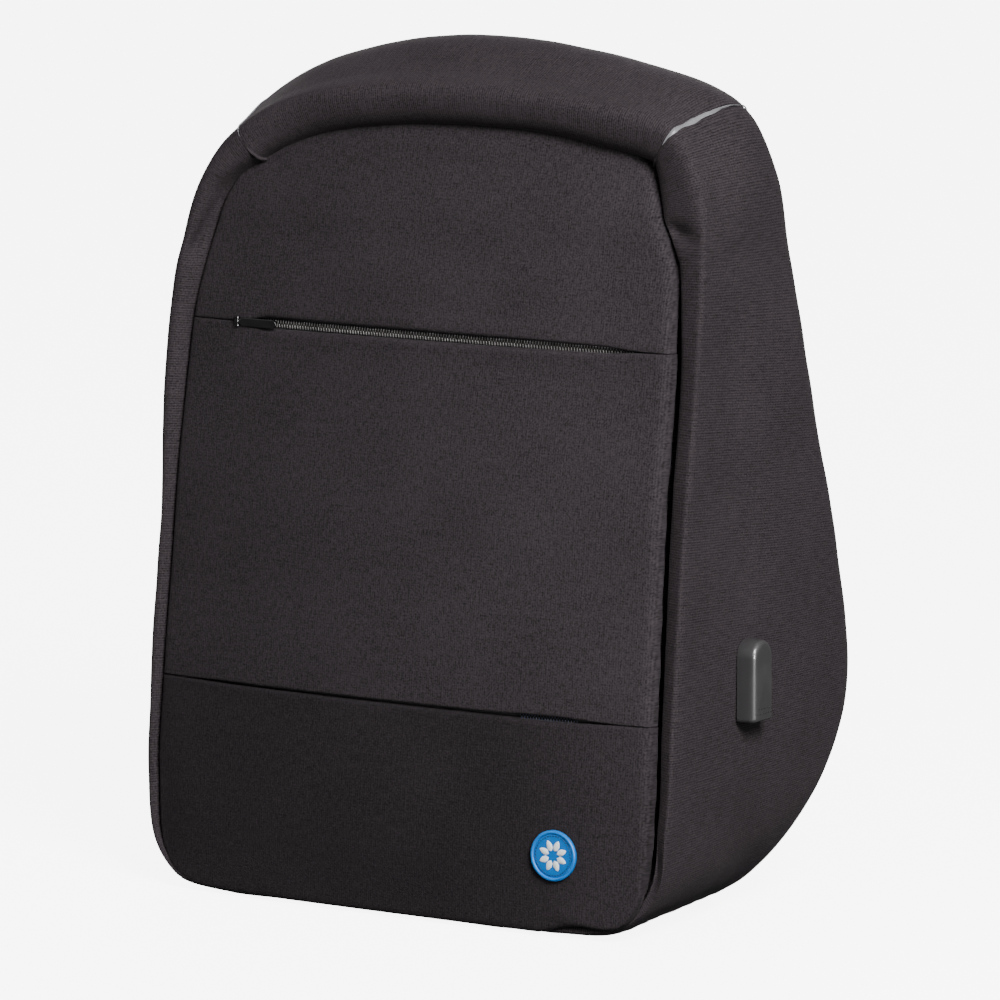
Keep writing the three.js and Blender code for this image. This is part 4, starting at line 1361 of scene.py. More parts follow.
    def patch(
        self,
        bottom: np.ndarray,
        top: np.ndarray,
        left: np.ndarray,
        right: np.ndarray,
        us: np.ndarray,
        vs: np.ndarray,
    ) -> np.ndarray:
        """Grid of points between four edges.

        Args:
            bottom: Bottom edge from left to right, as X and Z.
            top: Top edge from left to right.
            left: Left edge from bottom to top.
            right: Right edge from bottom to top.
            us: Shares of the way across.
            vs: Shares of the way up.

        Returns:
            Rows of points as X and Z.
        """
        bottom, top = self.spaced(bottom, us), self.spaced(top, us)
        left, right = self.spaced(left, vs), self.spaced(right, vs)
        u, v = us[None, :, None], vs[:, None, None]
        grid = bottom * (1 - v) + top * v + left[:, None] * (1 - u) + right[:, None] * u
        grid -= bottom[0] * (1 - u) * (1 - v) + bottom[-1] * u * (1 - v)
        grid -= top[0] * (1 - u) * v + top[-1] * u * v
        return grid

    @staticmethod
    def closed_faces(rows: int, columns: int) -> list[tuple]:
        """Faces of a front and a back grid, joined all round.

        Args:
            rows: Number of rows.
            columns: Number of columns.

        Returns:
            The faces.
        """
        count = rows * columns
        faces = grid_faces(rows, columns) + [f[::-1] for f in grid_faces(rows, columns, count)]
        ring = (
            list(range(columns))
            + [r * columns + columns - 1 for r in range(1, rows)]
            + [(rows - 1) * columns + c for c in range(columns - 2, -1, -1)]
            + [r * columns for r in range(rows - 2, 0, -1)]
        )
        return faces + [(b, a, a + count, b + count) for a, b in zip(ring, ring[1:] + ring[:1])]

    @staticmethod
    def inner(rows: int, columns: int) -> np.ndarray:
        """How free each vertex of a panel is: none at the edges and on the back.

        Args:
            rows: Number of rows.
            columns: Number of columns.

        Returns:
            Freedom of each vertex, from 0 to 1.
        """
        ways = [np.minimum(np.arange(n), np.arange(n)[::-1]) for n in (rows, columns)]
        rise, across = (np.clip((way - 4) / 5, 0, 1) for way in ways)
        front = np.minimum(rise[:, None], across[None, :]).ravel()
        return np.concatenate([front, np.zeros(rows * columns)])

    def lip(self, left: float, right: float, zip_name: str, up: int) -> np.ndarray:
        """Edge of a panel along a slit.

        Args:
            left: Left end's X.
            right: Right end's X.
            zip_name: Which zip, "upper" or "lower".
            up: 1 for the panel above the slit, -1 for the one below.

        Returns:
            Points as X and Z.
        """
        x = np.linspace(left, right, 160)
        height = self.upper_zip if zip_name == "upper" else self.lower_zip
        return np.column_stack([x, height + up * self.gap(x, zip_name)])

    def build(self, cloth: bpy.types.Material, pocket_cloth: bpy.types.Material) -> None:
        """Build the upper, middle and lower panel.

        Args:
            cloth: Cloth of the upper and the middle panel.
            pocket_cloth: Cloth of the lower panel, darkened with painted shade.
        """
        at, high, low = STATION, self.upper_zip, self.lower_zip
        seam = 0.15
        right = self.side(at["zip_right"] - 0.3, at["corner_right"], high + seam, None)
        left = self.side(at["zip_left"] + 0.3, at["corner_left"], high + seam, None)
        top = self.side(at["corner_left"], at["corner_right"], None, None)
        bottom = self.lip(left[0, 0], right[0, 0], "upper", 1)
        self.panel("front_panel_upper", bottom, top, left, right, ("upper", ""), cloth)

        right = self.side(at["pocket_right"] - 0.3, at["zip_right"] + 0.3, low + seam, high - seam)
        left = self.side(at["pocket_left"] + 0.3, at["zip_left"] - 0.3, low + seam, high - seam)
        top = self.lip(left[-1, 0], right[-1, 0], "upper", -1)
        bottom = self.lip(left[0, 0], right[0, 0], "lower", 1)
        self.panel("front_panel_middle", bottom, top, left, right, ("lower", "upper"), cloth)

        right = self.side(at["foot_right"], at["pocket_right"] + 0.3, None, low - seam)
        left = self.side(at["foot_left"], at["pocket_left"] - 0.3, None, low - seam)
        bottom = self.side(at["foot_left"], at["foot_right"] + ALL_ROUND, None, None)
        top = self.lip(left[-1, 0], right[-1, 0], "lower", -1)
        self.panel("front_panel_lower", bottom, top, left, right, ("", "lower"), pocket_cloth)


@dataclass
class Padding:
    """Foam pressure under cloth, settled by a cloth simulation and kept within a cap."""

    pressure: float = 1.6
    cap_mm: float = 2.0
    frames: int = 14

    def swell(self, piece: bpy.types.Object, free: np.ndarray) -> None:
        """Let a closed piece swell where it is free, and keep the result in its mesh.

        Args:
            piece: Closed mesh piece.
            free: How free each vertex is, from 0 to 1.
        """
        scene = bpy.context.scene
        mesh = piece.data.copy()
        trial = bpy.data.objects.new(piece.name + "_trial", mesh)
        scene.collection.objects.link(trial)
        group = trial.vertex_groups.new(name="held")
        for i in np.flatnonzero(free < 0.999):
            group.add([int(i)], float(1 - free[i]), "REPLACE")
        cloth = trial.modifiers.new("cloth", "CLOTH")
        settings = {
            "vertex_group_mass": "held", "pin_stiffness": 1.0, "use_pressure": True,
            "uniform_pressure_force": self.pressure, "tension_stiffness": 30,
            "compression_stiffness": 30, "bending_stiffness": 3, "quality": 4,
        }
        for key, value in settings.items():
            setattr(cloth.settings, key, value)
        cloth.settings.effector_weights.gravity = 0.0
        cloth.point_cache.frame_start = 1
        cloth.point_cache.frame_end = self.frames
        before = np.empty(len(mesh.vertices) * 3)
        mesh.vertices.foreach_get("co", before)
        for number in range(1, self.frames + 1):
            scene.frame_set(number)
        depsgraph = bpy.context.evaluated_depsgraph_get()
        settled = trial.evaluated_get(depsgraph).to_mesh()
        after = np.empty(len(mesh.vertices) * 3)
        settled.vertices.foreach_get("co", after)
        before, after = before.reshape(-1, 3), after.reshape(-1, 3)
        move = after - before
        size = np.linalg.norm(move, axis=1)
        cap = self.cap_mm * MM
        move *= (np.minimum(size, cap) / np.maximum(size, 1e-9) * free)[:, None]
        piece.data.vertices.foreach_set("co", (before + move).ravel())
        piece.data.update()
        bpy.data.objects.remove(trial)
        bpy.data.meshes.remove(mesh)
        scene.frame_set(1)
        LOG.info("%s settled, at most %.2f mm", piece.name, float(size.max() / MM))


# Zips, strips, badge and port


@dataclass
class FrontZips:
    """Coils, slider and pull of the two zips across the front."""

    form: BagForm
    panels: FrontPanels
    pitch: float = 1.75
    tooth: tuple[float, float, float] = (2.1, 0.66, 0.9)
    behind: float = 4.4

    def teeth(self, height: float, start: float, end: float) -> tuple[np.ndarray, list[tuple]]:
        """Two rows of coil teeth that meet in the middle of the slit.

        Args:
            height: Height of the slit's middle.
            start: First tooth's X.
            end: Last tooth's X.

        Returns:
            Vertices and faces.
        """
        places = []
        count = int((end - start) / self.pitch)
        for i in range(count):
            for row, shift in ((1, 0.0), (-1, self.pitch / 2)):
                x = start + i * self.pitch + shift
                y = self.form.front_depth(x, height) + self.behind
                slope = self.form.front_depth(x + 1, height) - self.form.front_depth(x - 1, height)
                across = np.array([0.12 * row, slope / 2 * 0.12, 1.0])
                into = np.array([0.0, 1.0, 0.0])
                at = np.array([x, y - 0.25, height + row * self.tooth[0] * 0.5])
                places.append((at, axes_from(across, into)))
        length, width, thick = self.tooth
        return scattered(capsule(length, width, thick), places)

    def build(
        self,
        grey: bpy.types.Material,
        blue: bpy.types.Material,
        tape: bpy.types.Material,
        enamel: bpy.types.Material,
    ) -> None:
        """Build the coils, dress the tapes and finish the slider and its pull.

        Args:
            grey: Finish of the upper coil.
            blue: Finish of the lower coil.
            tape: Woven tape.
            enamel: Finish of the slider and the pull.
        """
        points, faces = self.teeth(self.panels.upper_zip, -128, 128)
        make_piece(
            "upper_zip_teeth", points, faces, grey, replaces=["upper_zip_coil"]
        )
        points, faces = self.teeth(self.panels.lower_zip, 76, 112)
        make_piece("lower_zip_teeth", points, faces, blue)
        for node in ("upper_zip_tape", "lower_zip_tape"):
            dress(node, tape)
        bevelled_copy("zip_slider", 0.28, enamel)
        bevelled_copy("zip_pull", 0.3, enamel, body="pull")


def dress(node: str, finish: bpy.types.Material) -> None:
    """Give a CAD node that stays a better material.

    Args:
        node: Name of the node.
        finish: Its material.
    """
    for slot in bpy.data.objects[node].material_slots:
        slot.material = finish
    LOG.info("%s dressed", node)


@dataclass
class Reflectors:
    """Reflective tape laid in the seams between the hood and the sides."""

    shell: Shell
    left_share: float = 0.12  # most of the left strip is hidden in its seam
    # Share of the seam's length, and width in millimetres
    widths: tuple[tuple[float, float], ...] = (
        (0, 0.2), (0.05, 1.0), (0.12, 2.8), (0.2, 2.1), (0.27, 3.6), (0.38, 2.9), (0.5, 1.7),
        (0.58, 0.7), (0.66, 0.3), (1, 0.25),
    )

    def build(self, finish: bpy.types.Material) -> None:
        """Build the strip on each side.

        Args:
            finish: Reflective tape.
        """
        form, shell = self.shell.form, self.shell
        for side in Side:
            station = STATION[f"corner_{side.word}"]
            section, ahead = form.section(station), form.section(station + 0.05)
            inward, y = shell.profile(station)
            used = slice(4 + int(shell.roll_points * 0.5), len(y) - shell.corner_points // 2)
            inward, y = inward[used], y[used]
            run = np.hypot(np.gradient(inward), np.gradient(y)).cumsum()
            even = np.linspace(run[0], run[-1], 110)
            inward, y = np.interp(even, run, inward), np.interp(even, run, y)
            part = np.linspace(0, 1, len(even))
            shown = 1 if side is Side.RIGHT else self.left_share
            half = np.interp(part, *zip(*self.widths)) / 2 * shown
            along = form.place(ahead, inward, y) - form.place(section, inward, y)
            along /= np.linalg.norm(along, axis=1)[:, None]
            rows = []
            for share in np.linspace(-1, 1, 7):
                base = form.place(section, inward + 0.1 - 0.8 * (1 - share**2), y)
                ragged = half + wander(base, 7, 0.5, 2.0 + share) * (half > 0.6)
                rows.append(base + along * (share * ragged)[:, None])
            node, points = f"reflective_strip_{side.word}", np.stack(rows, 1).reshape(-1, 3)
            faces = grid_faces(len(y), 7)
            make_piece(node + "_tape", points, faces, finish, replaces=[node])


@dataclass
class Badge:
    """Round rubber badge with a raised rim, a stitched ring and a generic rosette."""

    form: BagForm
    x: float = 104.0
    z: float = 44.0
    radius: float = 13.5
    rim: float = 2.0
    thick: float = 1.6

    def frame(self) -> tuple[np.ndarray, np.ndarray]:
        """Place and axes of the badge on the CAD's disc.

        Returns:
            Middle of the badge, and its axes as columns.
        """
        low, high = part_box("badge_disc")
        middle = from_metres((low + high) / 2)
        f, x, z = self.form.front_depth, self.x, self.z
        along = np.array([1.0, (f(x + 1, z) - f(x - 1, z)) / 2, 0.0])
        up = np.array([0.0, (f(x, z + 1) - f(x, z - 1)) / 2, 1.0])
        axes = axes_from(along, up)
        return middle, axes

    def turned(
        self, name: str, profile: Sequence[tuple[float, float]], finish: bpy.types.Material,
        replaces: Sequence[str] = (),
    ) -> bpy.types.Object:
        """Turn a profile about the badge's axis.

        Args:
            name: Name of the piece.
            profile: Radius and height above the panel of each point.
            finish: Material.
            replaces: CAD nodes that the piece stands for.

        Returns:
            The turned piece.
        """
        middle, axes = self.frame()
        turn = np.linspace(0, 2 * math.pi, 72, endpoint=False)
        local = np.array([(r * math.cos(t), r * math.sin(t), h) for r, h in profile for t in turn])
        points = middle + (local - (0, 0, self.thick / 2)) @ axes.T
        return make_piece(
            name, points, grid_faces(len(profile), 72, ring=True), finish, replaces=replaces
        )

    def motif(self) -> tuple[np.ndarray, list[tuple]]:
        """Rosette of eight leaves round an open middle.

        Returns:
            Vertices in the badge's own plane, and faces.
        """
        points, faces = [], []

        def plate(outline: list[tuple[float, float]], rise: float) -> None:
            """Add a low plate with a sloped edge, from its outline.

            Args:
                outline: Corners of the plate.
                rise: Its height.
            """
            start, count = len(points), len(outline)
            middle = np.mean(outline, axis=0)
            for share, height in ((1.0, 0.0), (1.0, rise * 0.6), (0.9, rise)):
                for p in outline:
                    spot = middle + (np.array(p) - middle) * share
                    points.append((spot[0], spot[1], height))
            faces.extend(grid_faces(3, count, start=start, ring=True))
            faces.append(tuple(range(start + 2 * count, start + 3 * count)))

        for i in range(8):
            turn = i * math.pi / 4 + math.pi / 8
            c, s = math.cos(turn), math.sin(turn)
            leaf = ((2.5, 0), (3.9, 1.5), (5.8, 1.75), (7.6, 0.95), (8.6, 0), (7.6, -0.95),
                    (5.8, -1.75), (3.9, -1.5))
            plate([(r * c - w * s, r * s + w * c) for r, w in leaf], 0.35)
        return np.array(points), faces

    def build(
        self,
        rim: bpy.types.Material,
        field_: bpy.types.Material,
        dash: bpy.types.Material,
        white: bpy.types.Material,
    ) -> None:
        """Build the rim, the field, the stitched ring and the rosette.

        Args:
            rim: Rubber of the rim.
            field_: Rubber of the field.
            dash: Rubber of the stitched ring.
            white: Rubber of the rosette.
        """
        outer, inner = self.radius, self.radius - self.rim
        self.turned(
            "badge_rim_moulded",
            ((outer - 0.1, 0), (outer, 0.3), (outer, 1.3), (outer - 0.25, 1.8),
             (outer - 0.7, 2.1), (outer - 1.2, 2.15), (inner + 0.25, 1.95), (inner, 1.55),
             (inner, 0.9)),
            rim, ["badge_rim"],
        )
        self.turned(
            "badge_field_moulded",
            ((inner + 0.1, 0.5), (inner + 0.05, 1.25), (inner - 0.5, 1.4), (inner - 1.6, 1.45),
             (5.0, 1.5), (0.01, 1.52)),
            field_, ["badge_disc"],
        )
        middle, axes = self.frame()
        places = []
        for i in range(40):
            t = i * math.pi / 20
            at = middle + axes @ np.array([10.4 * math.cos(t), 10.4 * math.sin(t), 0.68])
            along = axes @ np.array([-math.sin(t), math.cos(t), 0.0])
            places.append((at, axes_from(along, axes[:, 2])))
        points, faces = scattered(capsule(1.15, 0.65, 0.5), places)
        make_piece("badge_stitched_ring", points, faces, dash)
        points, faces = self.motif()
        points = middle + (points + (0, 0, 1.4 - self.thick / 2)) @ axes.T
        make_piece("badge_rosette", points, faces, white)


@dataclass
class ChargingPort:
    """Arched plastic housing with a ridge, a lower edge with vents and a socket below."""

    form: BagForm
    bottom: float = 110.8
    depth_at: float = 80.0
    width: float = 19.0
    height: float = 43.4
    thick: float = 11.0
    # Inset of the outline, and distance from the wall
    layers: tuple[tuple[float, float], ...] = (
        (0.0, 0.0), (0.0, 2.0), (0.1, 4.5), (0.2, 7.0), (0.35, 8.6), (0.6, 9.3), (1.0, 9.9),
        (1.5, 10.4), (2.1, 10.75), (2.8, 10.93), (3.8, 11.0),
    )

    def build(self, plastic: bpy.types.Material, vent: bpy.types.Material) -> None:
        """Build the housing and its vents.

        Args:
            plastic: Finish of the housing.
            vent: Dark finish of the vents.
        """
        low, _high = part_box("charging_port")
        seat = from_metres(low)[0]
        half = self.width / 2
        turn = np.linspace(0, math.pi, 40)
        centre = self.height - half
        outline = np.vstack(
            [
                np.column_stack([np.full(20, half), np.linspace(0, centre, 21)[:-1]]),
                np.column_stack([half * np.cos(turn), centre + half * np.sin(turn)]),
                np.column_stack([np.full(20, -half), np.linspace(centre, 0, 21)[1:]]),
                np.column_stack([np.linspace(-half, half, 21)[1:-1], np.zeros(19)]),
            ]
        )
        middle = self.height / 2
        points = []
        for inset, out in self.layers:
            ring = outline * (1 - inset / half, 1.0)
            upper = ring[:, 1] > middle
            ring[upper, 1] = middle + (ring[upper, 1] - middle) * (1 - inset / middle)
            ring[~upper, 1] += inset * 0.35 * (1 - ring[~upper, 1] / middle)
            points.append(np.insert(ring + (self.depth_at, self.bottom), 0, seat + out, axis=1))
        count = len(outline)
        points = np.vstack(points)
        last = (len(self.layers) - 1) * count
        faces = grid_faces(len(self.layers), count, ring=True)
        faces.append(tuple(range(last, last + count)))
        piece = make_piece(
            "charging_port_housing", points, faces, plastic, replaces=["charging_port"]
        )
        self.vents(seat, vent)
        self.socket(seat, vent)
        LOG.info("%s placed", piece.name)

    def vents(self, seat: float, vent: bpy.types.Material) -> None:
        """Two rows of small vents low on the outer face.

        Args:
            seat: X of the wall that the housing stands on.
            vent: Finish of the dark parts.
        """
        places = []
        for row, (count, z) in enumerate(((5, 7.0), (6, 4.4))):
            for i in range(count):
                y = self.depth_at - 6.6 + i * 2.6 + (0.0 if row else 1.3)
                at = np.array([seat + self.thick + 0.05, y, self.bottom + z])
                places.append((at, axes_from(np.array([1.0, 0, 0]), np.array([0, 1.0, 0]))))
        points, faces = scattered(capsule(0.3, 0.95, 0.95), places)
        make_piece("charging_port_vents", points, faces, vent)

    def socket(self, seat: float, vent: bpy.types.Material) -> None:
        """Dark socket mouth in the lower edge.

        Args:
            seat: X of the wall that the housing stands on.
            vent: Finish of the dark parts.
        """
        x0, x1 = seat + 3.2, seat + 9.2
        y0, y1 = self.depth_at - 6.0, self.depth_at + 6.0
        z0, z1 = self.bottom - 0.05, self.bottom + 0.4
        ring = ((x0, y0), (x1, y0), (x1, y1), (x0, y1))
        points = np.array([(x, y, z) for z in (z0, z1) for x, y in ring])
        faces = [(0, 1, 2, 3), (7, 6, 5, 4), (0, 4, 5, 1), (1, 5, 6, 2), (2, 6, 7, 3), (3, 7, 4, 0)]
        make_piece("charging_port_socket", points, faces, vent)


# Back, straps and handle


@dataclass
class BackPad:
    """Padded back with its edge turned under, and the main zip that runs round it."""

    form: BagForm
    zip_width: float = 8.0
    crown: float = 8.0
    pitch: float = 2.3
    sunk: float = 0.6

    def spine_depth(self, z: float) -> float:
        """Depth of the back along its middle line.

        Args:
            z: Height.

        Returns:
            The depth.
        """
        rows = list(STATIONS.values())[STATION["foot_right"] : STATION["hood_right"]]
        height = min(max(z / self.form.back_height, rows[0][5]), rows[-1][5])
        return self.form.depth * smooth_column(rows, height, 5, 4)

    def margin(self, station: float) -> float:
        """Space for the zip round the pad, none along the bottom where the zip ends.

        Args:
            station: Place round the bag, counted in stations.

        Returns:
            Width of the space.
        """
        ends = STATION["pocket_right"], STATION["pocket_left"]
        beside = max(ends[0] - station, station - ends[1], 0.0)
        return 2 * self.form.clear + self.zip_width * max(1 - beside / 0.25, 0.0)

    def build(self, mesh_cloth: bpy.types.Material) -> None:
        """Build the pad.

        Args:
            mesh_cloth: Spacer mesh.
        """
        stations = np.linspace(0, ALL_ROUND, 24 * 9, endpoint=False)
        edge = np.array([self.form.back_edge(s, self.margin(s)) for s in stations])
        middle = np.array([0.0, 0.0, self.form.back_height * 0.5])
        shares = np.concatenate([[1.0, 0.996, 0.99, 0.98, 0.965], np.linspace(0.94, 0.03, 40)])
        rings = []
        for share in shares:
            points = middle + (edge - middle) * share
            blend = share**5
            spine = np.array([self.spine_depth(z) for z in points[:, 2]])
            flat = spine + self.crown * (1 - share**3)
            points[:, 1] = flat * (1 - blend) + edge[:, 1] * blend
            points[:, 1] -= hem((1 - share) * 190, 4.0)
            rings.append(points)
        under = rings[0].copy()
        under[:, 1] -= 5
        points = np.vstack([under] + rings + [[[0, rings[-1][:, 1].mean(), middle[2]]]])
        swell = wander(points, 60, 1.0, 6.6)
        points[:, 1] += swell * 0.5
        count = len(stations)
        faces = grid_faces(len(rings) + 1, count, ring=True)
        hub, last = len(points) - 1, len(rings) * count
        faces += [(last + c, last + (c + 1) % count, hub) for c in range(count)]
        cloth = points[:, [0, 2]]
        piece = make_piece(
            "back_panel_pad", points, faces, mesh_cloth, cloth, replaces=["back_panel"]
        )

    def build_zip(self, tape: bpy.types.Material, coil: bpy.types.Material) -> None:
        """Dress the main zip's tape and lay its coil along it.

        Args:
            tape: Woven tape.
            coil: Nylon coil.
        """
        dress("main_zip", tape)
        fine = np.linspace(STATION["pocket_right"], STATION["pocket_left"], 700)
        near = self.form.clear + self.zip_width / 2
        sections = [self.form.section(station) for station in fine]
        path = np.vstack(
            [self.form.place(s, s.corner + near, s.back[1] - self.sunk) for s in sections]
        )
        run = run_along(path)
        places = []
        for i, at in enumerate(np.arange(4, run[-1] - 4, self.pitch)):
            k = int(np.searchsorted(run, at))
            spot = along_at(path, at)
            along = path[min(k + 1, len(path) - 1)] - path[k - 2]
            axes = axes_from(along, np.array([0.0, 1.0, 0.0]))
            across = np.column_stack([axes[:, 2], axes[:, 1], -axes[:, 0]])
            side = 1 if i % 2 else -1
            places.append((spot + axes[:, 2] * side * 0.8, across))
        points, faces = scattered(capsule(3.0, 1.4, 1.3), places)
        make_piece("main_zip_teeth", points, faces, coil)


@dataclass
class Carrying:
    """Shoulder straps, adjusters, lower webbing and the grab handle."""

    form: BagForm
    strap_width: float = 60.0
    strap_thick: float = 11.0
    handle_width: float = 20.0
    handle_thick: float = 6.0
    handle_span: float = 48.0
    handle_height: float = 398.0
    strap_route: tuple[tuple[float, float, float], ...] = (
        (0.3, 0.84, 0.67), (0.31, 0.815, 0.85), (0.335, 0.775, 1.6), (0.38, 0.71, 2.9),
        (0.42, 0.64, 3.8), (0.47, 0.56, 4.1), (0.51, 0.48, 3.6), (0.525, 0.41, 2.9),
    )
    handle_route: tuple[tuple[float, float, float], ...] = (
        (-1, 0, 0.66), (-0.82, 0.1, 0.8), (-0.6, 0.9, 3.4), (0, 1.4, 4.4), (0.6, 0.9, 3.4),
        (0.82, 0.1, 0.8), (1, 0, 0.66),
    )

    def __post_init__(self) -> None:
        """Keep the CAD back as a surface to lay the routes on."""
        cad = bpy.data.objects["back_panel"].data
        corners = [tuple(v.co) for v in cad.vertices]
        self.back = BVHTree.FromPolygons(corners, [tuple(f.vertices) for f in cad.polygons])

    def on_back(self, x: float, z: float, lift: float) -> np.ndarray:
        """Point off the CAD back, straight behind a point of the front plane.

        Args:
            x: Place across the bag.
            z: Height.
            lift: Distance behind the back.

        Returns:
            The point.
        """
        start = Vector(to_metres(np.array([x, 3 * self.form.depth, z])))
        spot = self.back.ray_cast(start, Vector((0, -1, 0)))[0]
        point = from_metres(spot) if spot else np.array([x, self.form.depth, z])
        return np.array([x, point[1] + lift, z])

    @staticmethod
    def curve(points: np.ndarray, count: int) -> np.ndarray:
        """Smooth open curve through points, by evenly spaced places along it.

        Args:
            points: Points that it passes.
            count: Number of places.

        Returns:
            The places.
        """
        ends = np.vstack([2 * points[0] - points[1], points, 2 * points[-1] - points[-2]])
        out = []
        for i in range(1, len(ends) - 2):
            for t in np.linspace(0, 1, 12, endpoint=i == len(ends) - 3):
                out.append(
                    0.5 * (2 * ends[i] + (ends[i + 1] - ends[i - 1]) * t
                           + (2 * ends[i - 1] - 5 * ends[i] + 4 * ends[i + 1] - ends[i + 2]) * t * t
                           + (3 * ends[i] - ends[i - 1] - 3 * ends[i + 1] + ends[i + 2]) * t**3)
                )
        out = np.array(out)
        return along_at(out, np.linspace(0, run_along(out)[-1], count))

    def route(self, rows: Sequence[tuple[float, float, float]], side: Side) -> np.ndarray:
        """Points of a route behind the back, from its table."""
        sizes = (side.value * self.form.half_width, self.form.back_height, self.strap_thick)
        return np.array([self.on_back(*(np.array(row) * sizes)) for row in rows])

    def stitches(
        self, path: np.ndarray, width: float, rise: float, name: str, thread: bpy.types.Material
    ) -> None:
        """Running stitches along both edges of a band.

        Args:
            path: Middle line of the band.
            width: Distance between the two rows.
            rise: Height of the rows above the middle line.
            name: Name of the piece.
            thread: Finish of the thread.
        """
        run = run_along(path)
        places = []
        for at in np.arange(4, run[-1] - 4, 3.4):
            k = min(int(np.searchsorted(run, at)), len(path) - 2)
            spot = along_at(path, at)
            along = path[k + 1] - path[k - 1]
            axes = axes_from(along, np.array([1.0, 0.0, 0.0]))
            out = axes[:, 2] if axes[1, 2] > 0 else -axes[:, 2]
            for row in (-1, 1):
                spot_row = spot + axes[:, 1] * row * width / 2 + out * rise
                places.append((spot_row, axes_from(along, out)))
        points, faces = scattered(capsule(2.3, 0.7, 0.6), places)
        make_piece(name, points, faces, thread)

    def build(
        self,
        pad: bpy.types.Material,
        band: bpy.types.Material,
        plastic: bpy.types.Material,
        thread: bpy.types.Material,
    ) -> None:
        """Build the straps with their webbing and adjusters, and the handle.

        Args:
            pad: Spacer mesh of the straps.
            band: Webbing.
            plastic: Finish of the adjusters.
            thread: Finish of the stitches.
        """
        for side in Side:
            path = self.curve(self.route(self.strap_route, side), 70)
            sides = np.tile([1.0, 0.0, 0.0], (len(path), 1))
            swell = np.ones(len(path))
            swell[[0, -1]], swell[[1, -2]], swell[[2, -3]] = 0.6, 0.88, 0.97
            points, faces, cloth = swept(
                path, sides, soft_outline(self.strap_width, self.strap_thick), swell
            )
            piece = make_piece(
                f"shoulder_strap_{side.word}_pad", points, faces, pad, cloth,
                replaces=[f"shoulder_strap_{side.word}"],
            )
            self.stitches(
                path, self.strap_width - 11, self.strap_thick * 0.44,
                f"shoulder_strap_{side.word}_stitches", thread,
            )
            bevelled_copy(f"strap_adjuster_{side.word}", 0.9, plastic)
            dress(f"lower_webbing_{side.word}", band)
        self.build_handle(band)

    def build_handle(self, band: bpy.types.Material) -> None:
        """Build the grab handle from webbing.

        Args:
            band: Webbing.
        """
        middle, thick = self.handle_height, self.handle_thick
        route = [
            self.on_back(x * self.handle_span, middle + rise * thick, lift * thick)
            for x, rise, lift in self.handle_route
        ]
        path = self.curve(np.array(route), 60)
        low, high = self.on_back(0, middle - thick, 0), self.on_back(0, middle + thick, 0)
        sides = np.tile((high - low) / np.linalg.norm(high - low), (len(path), 1))
        points, faces, cloth = swept(
            path, sides, soft_outline(self.handle_width, self.handle_thick, 3.0, 24)
        )
        piece = make_piece(
            "grab_handle_padded", points, faces, band, cloth, replaces=["grab_handle"]
        )


# Studio


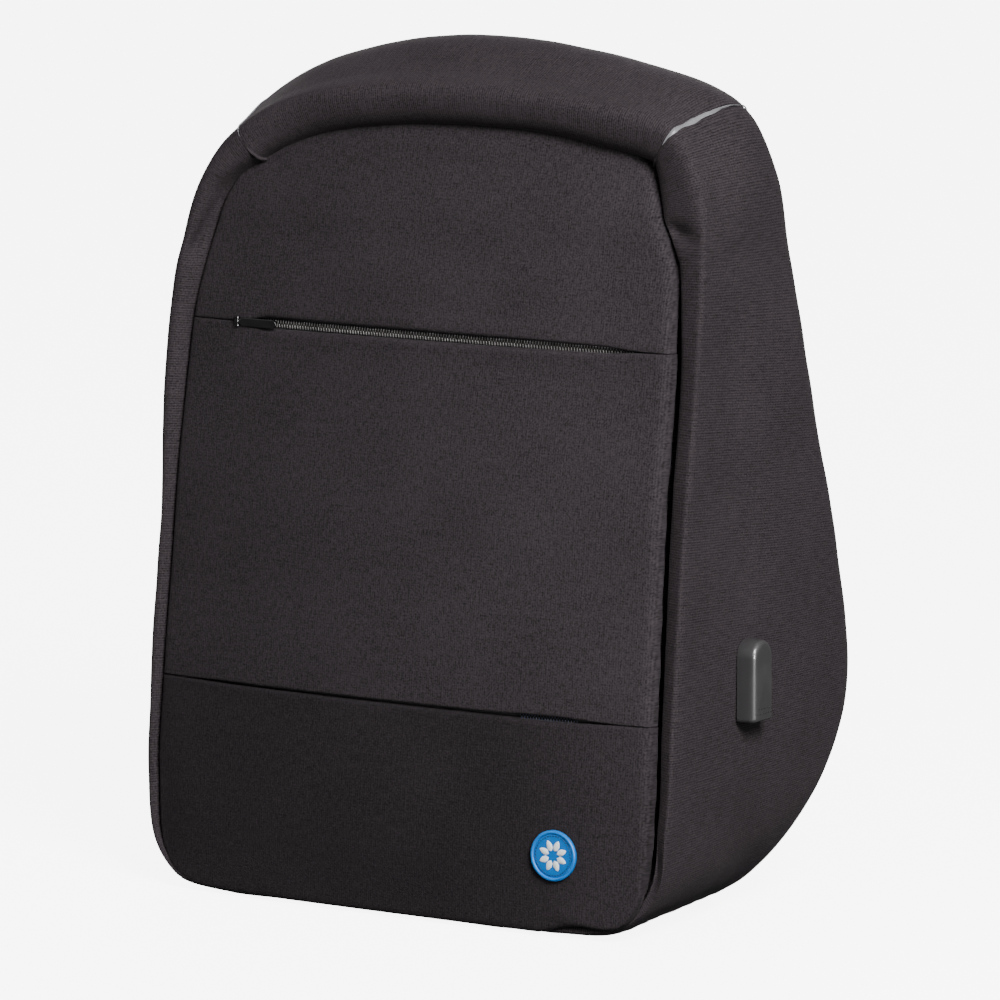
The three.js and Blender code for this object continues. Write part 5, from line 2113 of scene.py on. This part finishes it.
@dataclass
class Studio:
    """Pale floor, soft lights and the camera."""

    azimuth: float = 34.0
    elevation: float = 8.0
    lens: float = 283.0
    distance: float = 4.1603
    aim: tuple[float, float, float] = (0.0302, -0.0126, 0.2184)
    floor_reach: float = 12.0
    floor_glow: float = 6.5
    rear_strength: float = 1.6
    rear_spread: float = 30.0
    rear_direction: tuple[float, float, float] = (0.55, -1.0, -0.28)

    def build(self) -> None:
        """Set up the floor, the world, the lights and the camera."""
        self.floor()
        self.world()
        self.light("key", (1.95, -1.5, 1.75), (0.05, 0, 0.26), 1.0, 158.0)
        self.rear_light()
        self.light("fill", (-2.2, -2.6, 1.5), (0, 0, 0.25), 2.4, 12.0)
        # A low strip that only shows as a highlight on plastic, enamel and rubber
        self.light("strip", (1.5, -0.95, 0.3), (0.15, 0, 0.15), 0.45, 38.0, glossy_only=True)
        self.camera()

    def floor(self) -> None:
        """Wide pale floor with a soft, almost white surface."""
        mesh = bpy.data.meshes.new("studio_floor")
        corners = ((-1, -1), (1, -1), (1, 1), (-1, 1))
        points = [(x * self.floor_reach, y * self.floor_reach, 0) for x, y in corners]
        mesh.from_pydata(points, [], [(0, 1, 2, 3)])
        material, tree = new_material("matt_white_paper")
        inputs = {
            "Base Color": linear("#f7f7f7"),
            "Roughness": 0.9,
            "Emission Color": linear("#ffffff"),
            "Emission Strength": self.floor_glow,
        }
        shader = add(tree, "ShaderNodeBsdfPrincipled", inputs)
        close_material(tree, shader)
        mesh.materials.append(material)
        floor = bpy.data.objects.new("studio_floor", mesh)
        bpy.context.scene.collection.objects.link(floor)
        floor.visible_diffuse = False
        floor.visible_glossy = False

    def world(self) -> None:
        """White surroundings, brighter overhead."""
        world = bpy.data.worlds.new("white_surroundings")
        world.use_nodes = True
        world.node_tree.nodes.clear()
        tree = world.node_tree
        place = add(tree, "ShaderNodeTexCoord")
        split = add(tree, "ShaderNodeSeparateXYZ", {0: place.outputs["Generated"]})
        inputs = {0: split.outputs[2], 1: -0.4, 2: 0.7, 3: 0.1, 4: 0.26}
        strength = add(tree, "ShaderNodeMapRange", inputs)
        sky = add(tree, "ShaderNodeBackground", {0: linear("#ffffff"), 1: strength.outputs[0]})
        add(tree, "ShaderNodeOutputWorld", {0: sky.outputs[0]})
        bpy.context.scene.world = world

    def light(
        self,
        name: str,
        place: tuple[float, float, float],
        target: tuple[float, float, float],
        size: float,
        power: float,
        glossy_only: bool = False,
    ) -> None:
        """Add a soft area light.

        Args:
            name: Name of the light.
            place: Where it hangs.
            target: What it faces.
            size: Side of its square.
            power: Power in watts.
            glossy_only: Whether it only shows in reflections.
        """
        data = bpy.data.lights.new(name, "AREA")
        data.shape, data.size, data.energy = "SQUARE", size, power
        lamp = self.hang(data, Vector(target) - Vector(place))
        lamp.location = place
        lamp.visible_diffuse = not glossy_only

    def rear_light(self) -> None:
        """Add a wide, weak light from behind, so that the back shows its cloth."""
        data = bpy.data.lights.new("rear", "SUN")
        data.energy, data.angle = self.rear_strength, math.radians(self.rear_spread)
        self.hang(data, Vector(self.rear_direction))

    @staticmethod
    def hang(data: bpy.types.ID, direction: Vector) -> bpy.types.Object:
        """Put a light or a camera in the scene, facing a direction.

        Args:
            data: Light or camera.
            direction: Where it faces.

        Returns:
            The new object.
        """
        thing = bpy.data.objects.new(data.name, data)
        thing.rotation_euler = direction.to_track_quat("-Z", "Y").to_euler()
        bpy.context.scene.collection.objects.link(thing)
        return thing

    def camera(self) -> None:
        """Add the camera at the photograph's angle."""
        a, e = math.radians(self.azimuth), math.radians(self.elevation)
        toward = Vector((math.sin(a) * math.cos(e), -math.cos(a) * math.cos(e), math.sin(e)))
        data = bpy.data.cameras.new("camera")
        data.lens, data.sensor_width, data.sensor_fit = self.lens, 36.0, "HORIZONTAL"
        data.clip_end = 50.0
        camera = self.hang(data, -toward)
        camera.location = Vector(self.aim) + toward * self.distance
        bpy.context.scene.camera = camera


def main() -> None:
    """Build the bag piece by piece."""
    logging.basicConfig(level=logging.INFO, format="%(message)s")
    Studio().build()
    shell_cloth, front_cloth = SHELL_CLOTH.make(), FRONT_CLOTH.make()
    back_mesh, band, plastic = BACK_MESH.make(), BAND.make(), HOUSING.make()
    zip_tape = ZIP_TAPE.make()
    shell, panels = Shell(FORM), FrontPanels(FORM)
    shell.build(shell_cloth)
    panels.build(front_cloth, POCKET_CLOTH_PAINTED_SHADE.make())
    FrontZips(FORM, panels).build(
        GREY_COIL.make(), BLUE_COIL.make(), zip_tape, ENAMEL.make()
    )
    Reflectors(shell).build(REFLECTOR.make())
    Badge(FORM).build(
        RIM_RUBBER.make(), FIELD_RUBBER.make(), DASH_RUBBER.make(), WHITE_RUBBER.make()
    )
    ChargingPort(FORM).build(plastic, VENT.make())
    back = BackPad(FORM)
    back.build(back_mesh)
    back.build_zip(zip_tape, BLACK_COIL.make())
    Carrying(FORM).build(back_mesh, band, plastic, THREAD.make())


if __name__ == "__main__":
    main()
